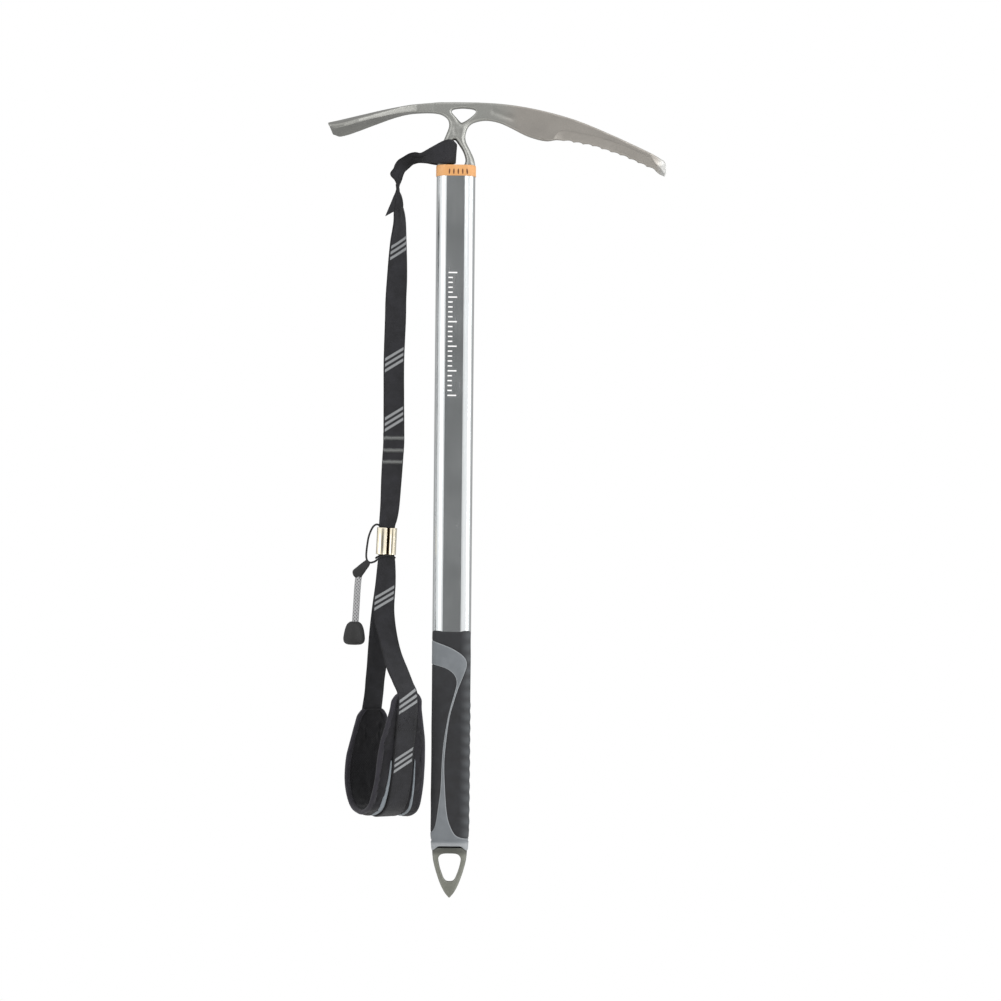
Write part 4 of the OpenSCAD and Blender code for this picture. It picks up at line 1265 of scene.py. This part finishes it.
def inflate(outer, inner, fixed_out, fixed_in):
    """Cloth simulation of the pad's skin, blown up between its sewn lines by at most SWELL."""
    c = outer.shape[1]
    rings = np.concatenate([outer, inner[:, ::-1]], 1)
    shape = Shape()
    shape.loft(rings)
    obj = shape.build("pad_blank", COVER)
    fixed = np.concatenate([fixed_out, fixed_in[:, ::-1]], 1).ravel()
    group = obj.vertex_groups.new(name="sewn")
    group.add(np.flatnonzero(fixed).tolist(), 1.0, "REPLACE")
    cloth = obj.modifiers.new("cloth", "CLOTH")
    cloth.collision_settings.use_collision = False
    cloth.settings.effector_weights.gravity = 0
    for key, value in CLOTH.items():
        setattr(cloth.settings, key, value)
    scene = bpy.context.scene
    for frame_number in range(1, 21):
        scene.frame_set(frame_number)
    settled = obj.evaluated_get(bpy.context.evaluated_depsgraph_get())
    result = settled.to_mesh()
    moved = np.empty(len(result.vertices) * 3)
    result.vertices.foreach_get("co", moved)
    moved = moved.reshape(-1, 3) / MM - rings.reshape(-1, 3)
    settled.to_mesh_clear()
    scene.frame_set(1)
    bpy.data.objects.remove(obj)
    size = np.linalg.norm(moved, axis=1, keepdims=True)
    rings = rings + (moved * SWELL * np.tanh(size / SWELL) / np.maximum(size, 1e-6)).reshape(rings.shape)
    return rings[:, :c], rings[:, c:][:, ::-1]


def pad_pieces():
    """The outer and the inner half of the pad, each closed along the plane between them."""
    outer, inner, core, fixed_out, fixed_in, run, w = pad_grid()
    outer, inner = inflate(outer, inner, fixed_out, fixed_in)
    middle = w[len(w) // 2]
    us = np.concatenate([middle + 30, 90 - middle[::-1], [120]])
    made = []
    for name, rings, look, slot in (
            ("cuff_outer_pad", np.concatenate([outer, core[:, ::-1]], 1), COVER, "cuff_fabric"),
            ("cuff_inner_pad", np.concatenate([core, inner[:, ::-1]], 1), LINING, "lining_fabric")):
        obj = lofted(name, rings, look, 70, us, run)
        rounding = obj.modifiers.new("rounding", "SUBSURF")
        rounding.levels, rounding.render_levels = 1, 1
        made.append(obj)
    return made


outer_pad, inner_pad = pad_pieces()
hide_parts("cuff_cover", "cuff_foam")
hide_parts("cuff_lining")
for piece in (outer_pad, inner_pad):
    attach(piece, "leash")

PLAN, HEADING, RUN = cuff_curve(1.2)
HALF = pad_half(RUN)
# out from the pad's edge, and off its middle plane
BINDING_PROFILE = [(-2.9, 1.75), (-1.5, 1.95), (-0.2, 1.75), (0.65, 0.9), (0.9, 0), (0.65, -0.9),
                   (-0.2, -1.75), (-1.5, -1.95), (-2.9, -1.75)]


def binding_rings(side):
    """A tape folded over one edge of the pad."""
    profile = smooth(BINDING_PROFILE, 3)
    inner = profile[::-1] * [1, 0.72]
    inner[:, 0] = np.minimum(inner[:, 0] - 0.45, -0.3)
    closed = np.concatenate([profile, inner])
    swell = 1 + 0.05 * noise1(RUN, 61 + side, 7)
    w = side * (HALF[:, None] + closed[None, :, 0])
    off = closed[None, :, 1] * swell[:, None]
    return cuff_place(PLAN, HEADING, off, w)


def binding_piece():
    shape = Shape()
    for side in (-1, 1):
        shape.loft(binding_rings(side), None, RUN)
    return shape.build("cuff_edge_binding", BINDING, 60)


binding = binding_piece()
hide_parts("cuff_binding")
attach(binding, "leash")


def piping_rings(side, top_w, low_w, top_half, low_half):
    """A light strip that starts thin high on one limb, widens round the bottom and thins again."""
    keep = PLAN[:, 1] < -525
    plan, heading, run = PLAN[keep], HEADING[keep], RUN[keep] - RUN[keep][0]
    low = 1 - np.abs(2 * run / run[-1] - 1)
    low = ease(low, 0, 0.75)
    centre = side * (top_w + (low_w - top_w) * low)
    half = (top_half + (low_half - top_half) * low) * ease(np.minimum(run, run[-1] - run), -1.5, 2.5)
    a = turn(16)
    w = centre[:, None] + half[:, None] * np.cos(a)
    off = 2.45 + 0.75 * np.sin(a)[None] + 0 * w
    return cuff_place(plan, heading, off, w), run


def piping_piece():
    """The two light lines: their places and half widths at their ends and at the bottom."""
    shape = Shape()
    for side, sizes in ((-1, (9.9, 12.0, 0.7, 2.1)), (1, (11.2, 13.4, 0.6, 1.3))):
        rings, run = piping_rings(side, *sizes)
        shape.loft(rings, None, run)
    return shape.build("cuff_light_piping", PIPING, 60)


piping = piping_piece()
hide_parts("cuff_piping")
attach(piping, "leash")


def stitch(shape, a, b, radius, lift):
    """One short stitch of thread from a to b, sunk at both ends."""
    a, b, lift = np.array(a, float), np.array(b, float), np.array(lift, float)
    t = np.linspace(0, 1, 6)[:, None]
    path = a + (b - a) * t + lift * np.sin(math.pi * t)
    d = unit(b - a)
    side = unit(np.cross(d, lift))
    up = np.cross(side, d)
    k = turn(6)[:, None]
    grow = radius * np.sin(math.pi * np.linspace(0.12, 0.88, 6))[:, None, None]
    shape.loft(path[:, None] + grow * (side * np.cos(k) + up * np.sin(k))[None])


def bar_tack(shape, z):
    """A row of close zigzag thread across the strap's front at height z."""
    row = int(np.argmin(np.abs(strap_middle[:, 2] - z)))
    front = strap_rings[row][:strap_rings.shape[1] // 2]
    left, right = front[0, 0], front[-1, 0]
    for k in range(34):
        x = left + (right - left) * (0.035 + 0.93 * (k + 0.5) / 34)
        y = np.interp(x, front[:, 0], front[:, 1]) - 0.05
        lean = 0.35 if k % 2 else -0.35
        jog = 0.25 * noise1(k * 1.7, int(-z), 1)
        stitch(shape, (x - lean, y, z - 1.75 + jog), (x + lean, y, z + 1.75 + jog), 0.3, (0, -0.42, 0))


def tack_piece():
    shape = Shape()
    for height in (-265.0, -275.0, -284.5):
        bar_tack(shape, height)
    return shape.build("bar_tack_thread", THREAD, 80)


tacks = tack_piece()
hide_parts("bar_tacks")
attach(tacks, "leash")


def cuff_at(run, off, w):
    """Points of the cuff at distances run along its curve, and the directions outwards there."""
    run, off, w = np.broadcast_arrays(*[np.asarray(q, float) for q in (run, off, w)])
    plan = np.stack([np.interp(run, RUN, PLAN[:, i]) for i in (0, 1)], 1)
    heading = unit(np.stack([np.interp(run, RUN, HEADING[:, i]) for i in (0, 1)], 1))
    s, c = math.sin(CUFF_YAW), math.cos(CUFF_YAW)
    out = np.stack([-heading[:, 1] * s, heading[:, 1] * c, heading[:, 0]], 1)
    return cuff_place(plan, heading, off[:, None], w[:, None])[:, 0], out


# how far through its pitch a stitch begins and ends
STITCHED = (0.14, 0.86)


def seam(shape, off, w, first, last, pitch=2.8):
    """A row of stitches along the cuff at offset off and place w, from first to last along its curve."""
    count = int((last - first) / pitch)
    begins, ends = [first + (np.arange(count) + part) * pitch for part in STITCHED]
    place = [np.interp(run, RUN, w) if np.ndim(w) else w for run in (begins, ends)]
    a, _ = cuff_at(begins, off, place[0])
    b, out = cuff_at(ends, off, place[1])
    for p, q, n in zip(a, b, out):
        stitch(shape, p, q, 0.2, n * math.copysign(0.16, off))


def box_stitch(shape, first, last):
    """A sewn box with a cross in it, from first to last along the cuff's curve."""
    corners = [(first, -6.6), (first, 6.6), (last, 6.6), (last, -6.6), (first, -6.6), (last, 6.6),
               (first, 6.6), (last, -6.6)]
    lift = np.array([math.sin(CUFF_YAW), -math.cos(CUFF_YAW), 0]) * 0.16
    if first > RUN[-1] / 2:
        lift = -lift
    for k, (a, b) in enumerate(zip(corners, corners[1:])):
        if k == 5:
            continue
        n = max(3, int(math.dist(a, b) / 1.9))
        for i in range(n):
            t = (i + np.array(STITCHED)) / n
            run, w = a[0] + (b[0] - a[0]) * t, a[1] + (b[1] - a[1]) * t
            off = np.interp(np.minimum(run, RUN[-1] - run), (0, 22), (1.7, 3.6)) + TAPE / 2 - 0.02
            ends, _ = cuff_at(run, off, w)
            stitch(shape, ends[0], ends[1], 0.24, lift)


def cuff_stitching():
    """Boxes at both ends of the cuff, seams along the webbing's edges and along the binding."""
    shape = Shape()
    box_stitch(shape, 15, 29)
    box_stitch(shape, RUN[-1] - 17, RUN[-1] - 2.5)
    for w in (-7.9, 7.9):
        seam(shape, 3.6 + TAPE / 2 - 0.1, w, 24, RUN[-1] - 24)
    for side in (-1, 1):
        for off in (1.9, -1.9):
            seam(shape, off, side * (HALF - 1.9), 3, RUN[-1] - 3, 2.6)
    return shape.build("cuff_stitching", BLACK_THREAD, 80)


cuff_thread = cuff_stitching()
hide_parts("cuff_tacks")
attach(cuff_thread, "leash")


# ---------------------------------------------------------------- slider, its cord and the pull

# the slider's middle, its axis along the strap and its side
SLIDE_MID = np.array([-59.5, 0.0, -349.3])
SLIDE_AXIS = np.array([math.sin(math.radians(2.3)), 0.0, math.cos(math.radians(2.3))])
SLIDE_SIDE = np.array([SLIDE_AXIS[2], 0.0, -SLIDE_AXIS[0]])
SLIDER_HEIGHT = 22.0
SLIDER_WALL = 0.9
# middle, half width and half depth of each lobe, and where the sheet's edges meet in front
LOBES = ((-3.2, 5.0, 4.7), (4.7, 3.5, 4.2))
MEETING = 1.5


def lobe_outline():
    """Half widths and depths of the rolled sheet, with a groove where its edges meet in front."""
    out = []
    for a in turn(96):
        c, s = math.cos(a), math.sin(a)
        reach = []
        for cx, rx, ry in LOBES:
            k = (c / rx) ** 2 + (s / ry) ** 2
            b = c * cx / rx ** 2
            d = b * b - k * ((cx / rx) ** 2 - 1)
            reach.append((b + math.sqrt(d)) / k if d > 0 else 0)
        out.append((max(reach) * c, max(reach) * s))
    return np.array(out)


def slider():
    """The rolled sheet with its lips; its map is the distance from the meeting edges."""
    outline = lobe_outline()
    flow = np.gradient(np.concatenate([outline[-1:], outline, outline[:1]]), axis=0)[1:-1]
    normal = unit(np.column_stack([flow[:, 1], -flow[:, 0]]))
    half = SLIDER_HEIGHT / 2
    up = [(0.0, 0), (0.0, half - 0.9), (0.12, half - 0.4), (-0.1, half - 0.1), (-0.45, half),
          (-0.8, half - 0.15), (-0.95, half - 0.6), (-SLIDER_WALL, half - 1.2), (-SLIDER_WALL, 0)]
    down = [(off, -z) for off, z in up[-2:0:-1]]
    profile = [(0.0, 0.9 - half)] + up + down
    rings = []
    for off, z in profile:
        q = outline + normal * off
        rings.append(SLIDE_MID + SLIDE_SIDE * q[:, :1] + np.array([0, 1.0, 0]) * q[:, 1:] + SLIDE_AXIS * z)
    shape = Shape()
    from_meeting = np.where(outline[:, 1] < 0, np.abs(outline[:, 0] - MEETING), 9.0)
    shape.loft(rings, np.append(from_meeting, from_meeting[0]), lengths(np.array(profile)), caps=False)
    obj = shape.build("slider_sheet", BRASS, 35)
    outward(obj.data, WELD)
    return obj


barrel = slider()
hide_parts("slider_barrel")
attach(barrel, "slider")

# from the slider's top, out to the left and down to its foot
CORD_ROUTE = [(-64.7, 0.5, -337.6), (-66.2, 0.3, -336.0), (-68.4, 0, -335.9), (-70.4, 0, -337.5),
              (-71.9, 0, -340), (-73.3, 0, -343.4), (-74.3, 0, -346.8), (-75.0, 0, -351.2),
              (-75.6, 0, -356), (-75.9, 0, -360), (-75.8, 0, -363), (-74.9, 0, -365.6),
              (-72.8, 0, -367.0), (-70.3, 0, -366.6), (-68.2, 0, -365.6), (-66.6, 0, -364.1)]
CORD_D = 1.6


def cord_piece(name, route, diameter, look, sides=14):
    """A round cord along a route, and the line through its middle."""
    path = smooth(route, 8)
    path = evenly(path, path, diameter * 0.4)
    rings = tube_rings(path, diameter / 2, sides)
    return lofted(name, rings, look, 80, None, lengths(path)), path


thin_cord, middle_cord = cord_piece("slider_thin_cord", CORD_ROUTE, CORD_D, CORD)
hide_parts("slider_cord")
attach(thin_cord, "slider")
# from the cord's lower end round the strap
RING = [(-67.6, -0.6, -364.9), (-65.9, -2.0, -363.6), (-63.6, -2.8, -361.8), (-59.8, -3.0, -360.9),
        (-56.0, -2.8, -361.3), (-53.4, -1.9, -362.2), (-52.5, 0, -362.8), (-53.4, 1.9, -362.2),
        (-56.0, 2.9, -361.3), (-59.8, 3.1, -361.0), (-63.6, 2.9, -361.3), (-66.9, 2.0, -362.3),
        (-68.2, 0.6, -363.3)]
cord_ring, _ = cord_piece("slider_cord_round", RING, 1.5, CORD)
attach(cord_ring, "slider")


def between_lines(left, right, depth):
    """Rings between two side lines in the XZ plane, depth deep, with softly squared sections."""
    left, right = smooth(left, 6), smooth(right, 6)
    middle, half = (left + right) / 2, (right - left) / 2
    a = turn(28)
    c = np.sign(np.cos(a)) * np.abs(np.cos(a)) ** 0.75
    s = np.sign(np.sin(a)) * np.abs(np.sin(a)) ** 0.75
    depth = np.interp(np.linspace(0, 1, len(left)), np.linspace(0, 1, len(depth)), depth)
    x = middle[:, :1] + half[:, :1] * c
    z = middle[:, 1:] + half[:, 1:] * c
    return np.stack([x, depth[:, None] / 2 * s + 0 * x, z], -1)


SLEEVE_LEFT = [(-75.4, -364.9), (-76.6, -365.1), (-80.4, -368.0), (-84.0, -371.0), (-86.8, -373.6),
               (-86.8, -376.6), (-85.2, -379.0), (-83.0, -380.2)]
SLEEVE_RIGHT = [(-74.2, -365.6), (-72.7, -367.1), (-73.4, -369.8), (-75.2, -372.4), (-77.2, -375.4),
                (-78.8, -377.6), (-79.6, -379.2), (-81.2, -380.4)]
SLEEVE_DEEP = [1.5, 3.6, 5.0, 5.8, 6.0, 5.8, 5.2, 2.0]
sleeve = lofted("pull_rubber_sleeve", between_lines(SLEEVE_LEFT, SLEEVE_RIGHT, SLEEVE_DEEP), PULL_RUBBER,
                60)
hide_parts("pull_sleeve")
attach(sleeve, "pull")

PULL_D = 5.4
PULL_ROUTE = [(-82.0, 0, -378.2), (-82.7, 0, -386), (-83.3, 0, -396), (-83.8, 0, -406), (-84.4, 0, -416.6)]
grey_cord, route = cord_piece("pull_braid", PULL_ROUTE, PULL_D, PULL_CORD, 24)
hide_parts("pull_cord")
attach(grey_cord, "pull")

BALL_X = -85.1
BALL_TOP = -415.5
# radius and height below the top
BALL_PROFILE = [(0.6, 0.3), (3.2, 0.2), (4.4, -0.4), (6.0, -1.9), (7.3, -4.8), (8.2, -8.4),
                (8.8, -12.4), (8.75, -14.8), (8.0, -16.9), (6.0, -18.3), (3.4, -18.7), (0.6, -18.8)]


def pull_ball():
    """The pull: round in plan, with a slightly uneven moulded surface."""
    profile = smooth(BALL_PROFILE, 5)
    a = turn(64)
    rings = []
    for r, z in profile:
        rr = r * (1 + 0.012 * np.cos(3 * a + z * 0.2)) + 0.06 * noise2(a * 6, z + 0 * a, 71, 5)
        rings.append(np.column_stack([BALL_X + rr * np.cos(a), rr * np.sin(a), BALL_TOP + z + 0 * a]))
    return lofted("pull_grip", rings, PULL_RUBBER, 50)


ball = pull_ball()
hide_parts("pull_ball")
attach(ball, "pull")


# ---------------------------------------------------------------- stage, light and camera

def soft_surroundings():
    """White for the camera; what the metal mirrors is bright in front and dim behind."""
    world = bpy.data.worlds.new("studio")
    bpy.context.scene.world = world
    world.use_nodes = True
    tree = world.node_tree
    tree.nodes.clear()

    def add(kind):
        return tree.nodes.new("ShaderNode" + kind)

    coord, split = add("TexCoord"), add("SeparateXYZ")
    tree.links.new(coord.outputs["Generated"], split.inputs[0])
    sides = add("ValToRGB")
    ramp = sides.color_ramp
    for place, level in ((0.012, 0.24), (0.07, 1.18), (0.62, 1.18), (0.75, 0.5)):
        e = ramp.elements.new(place)
        e.color = (level, level, level * 0.995, 1)
    ramp.elements[0].color = (0.15, 0.155, 0.155, 1)
    ramp.elements[-1].color = (0.5, 0.5, 0.5, 1)
    half = add("MapRange")
    half.inputs["From Min"].default_value, half.inputs["From Max"].default_value = -1, 1
    tree.links.new(split.outputs["Y"], half.inputs["Value"])
    tree.links.new(half.outputs[0], sides.inputs[0])
    soft, plain = add("Background"), add("Background")
    tree.links.new(sides.outputs[0], soft.inputs[0])
    plain.inputs[0].default_value = (1, 1, 1, 1)
    path, mix, out = add("LightPath"), add("MixShader"), add("OutputWorld")
    tree.links.new(path.outputs["Is Camera Ray"], mix.inputs[0])
    tree.links.new(soft.outputs[0], mix.inputs[1])
    tree.links.new(plain.outputs[0], mix.inputs[2])
    tree.links.new(mix.outputs[0], out.inputs[0])


def softbox(name, place, aim, size, power):
    """A square light at place that faces aim, in metres and watts."""
    light = bpy.data.lights.new(name, "AREA")
    light.shape, light.energy = "RECTANGLE", power
    light.size, light.size_y = size
    obj = placed(name, light)
    obj.location = place
    obj.rotation_euler = (Vector(aim) - Vector(place)).to_track_quat("-Z", "Y").to_euler()


def pale_floor():
    """A floor below the axe that throws light up. It isn't seen from the front."""
    x, front, back, z = 0.8, -1.2, 0.36, -0.8
    mesh = bpy.data.meshes.new("floor")
    mesh.from_pydata([(-x, front, z), (x, front, z), (x, back, z), (-x, back, z)], [], [(0, 1, 2, 3)])
    pale = Look("pale_floor")
    mesh.materials.append(pale.done(Base_Color=(0.86, 0.86, 0.85), Roughness=0.9))
    placed("floor", mesh)


CAMERA_PLACE = (0.0334, -2.2733, -0.3152)
CAMERA_ROLL = 0.551


def long_camera():
    """A long lens level with the middle of the axe, turned by the half degree that the axe leans."""
    camera = bpy.data.cameras.new("camera")
    camera.lens, camera.sensor_width = 100, 36
    camera.clip_end = 20
    obj = placed("camera", camera)
    level = Matrix.Translation(CAMERA_PLACE) @ Matrix.Rotation(math.pi / 2, 4, "X")
    obj.matrix_world = level @ Matrix.Rotation(math.radians(CAMERA_ROLL), 4, "Z")
    bpy.context.scene.camera = obj


soft_surroundings()
softbox("key", (1.1, -1.5, 0.7), (0, 0, -0.3), (0.7, 0.9), 9)
softbox("side", (1.5, -0.12, -0.3), (0, 0, -0.4), (0.35, 1.3), 7)
softbox("fill", (-1.4, -1.2, 0.1), (0, 0, -0.3), (0.8, 1.2), 5)
pale_floor()
long_camera()
bpy.context.scene.view_settings.view_transform = "Standard"
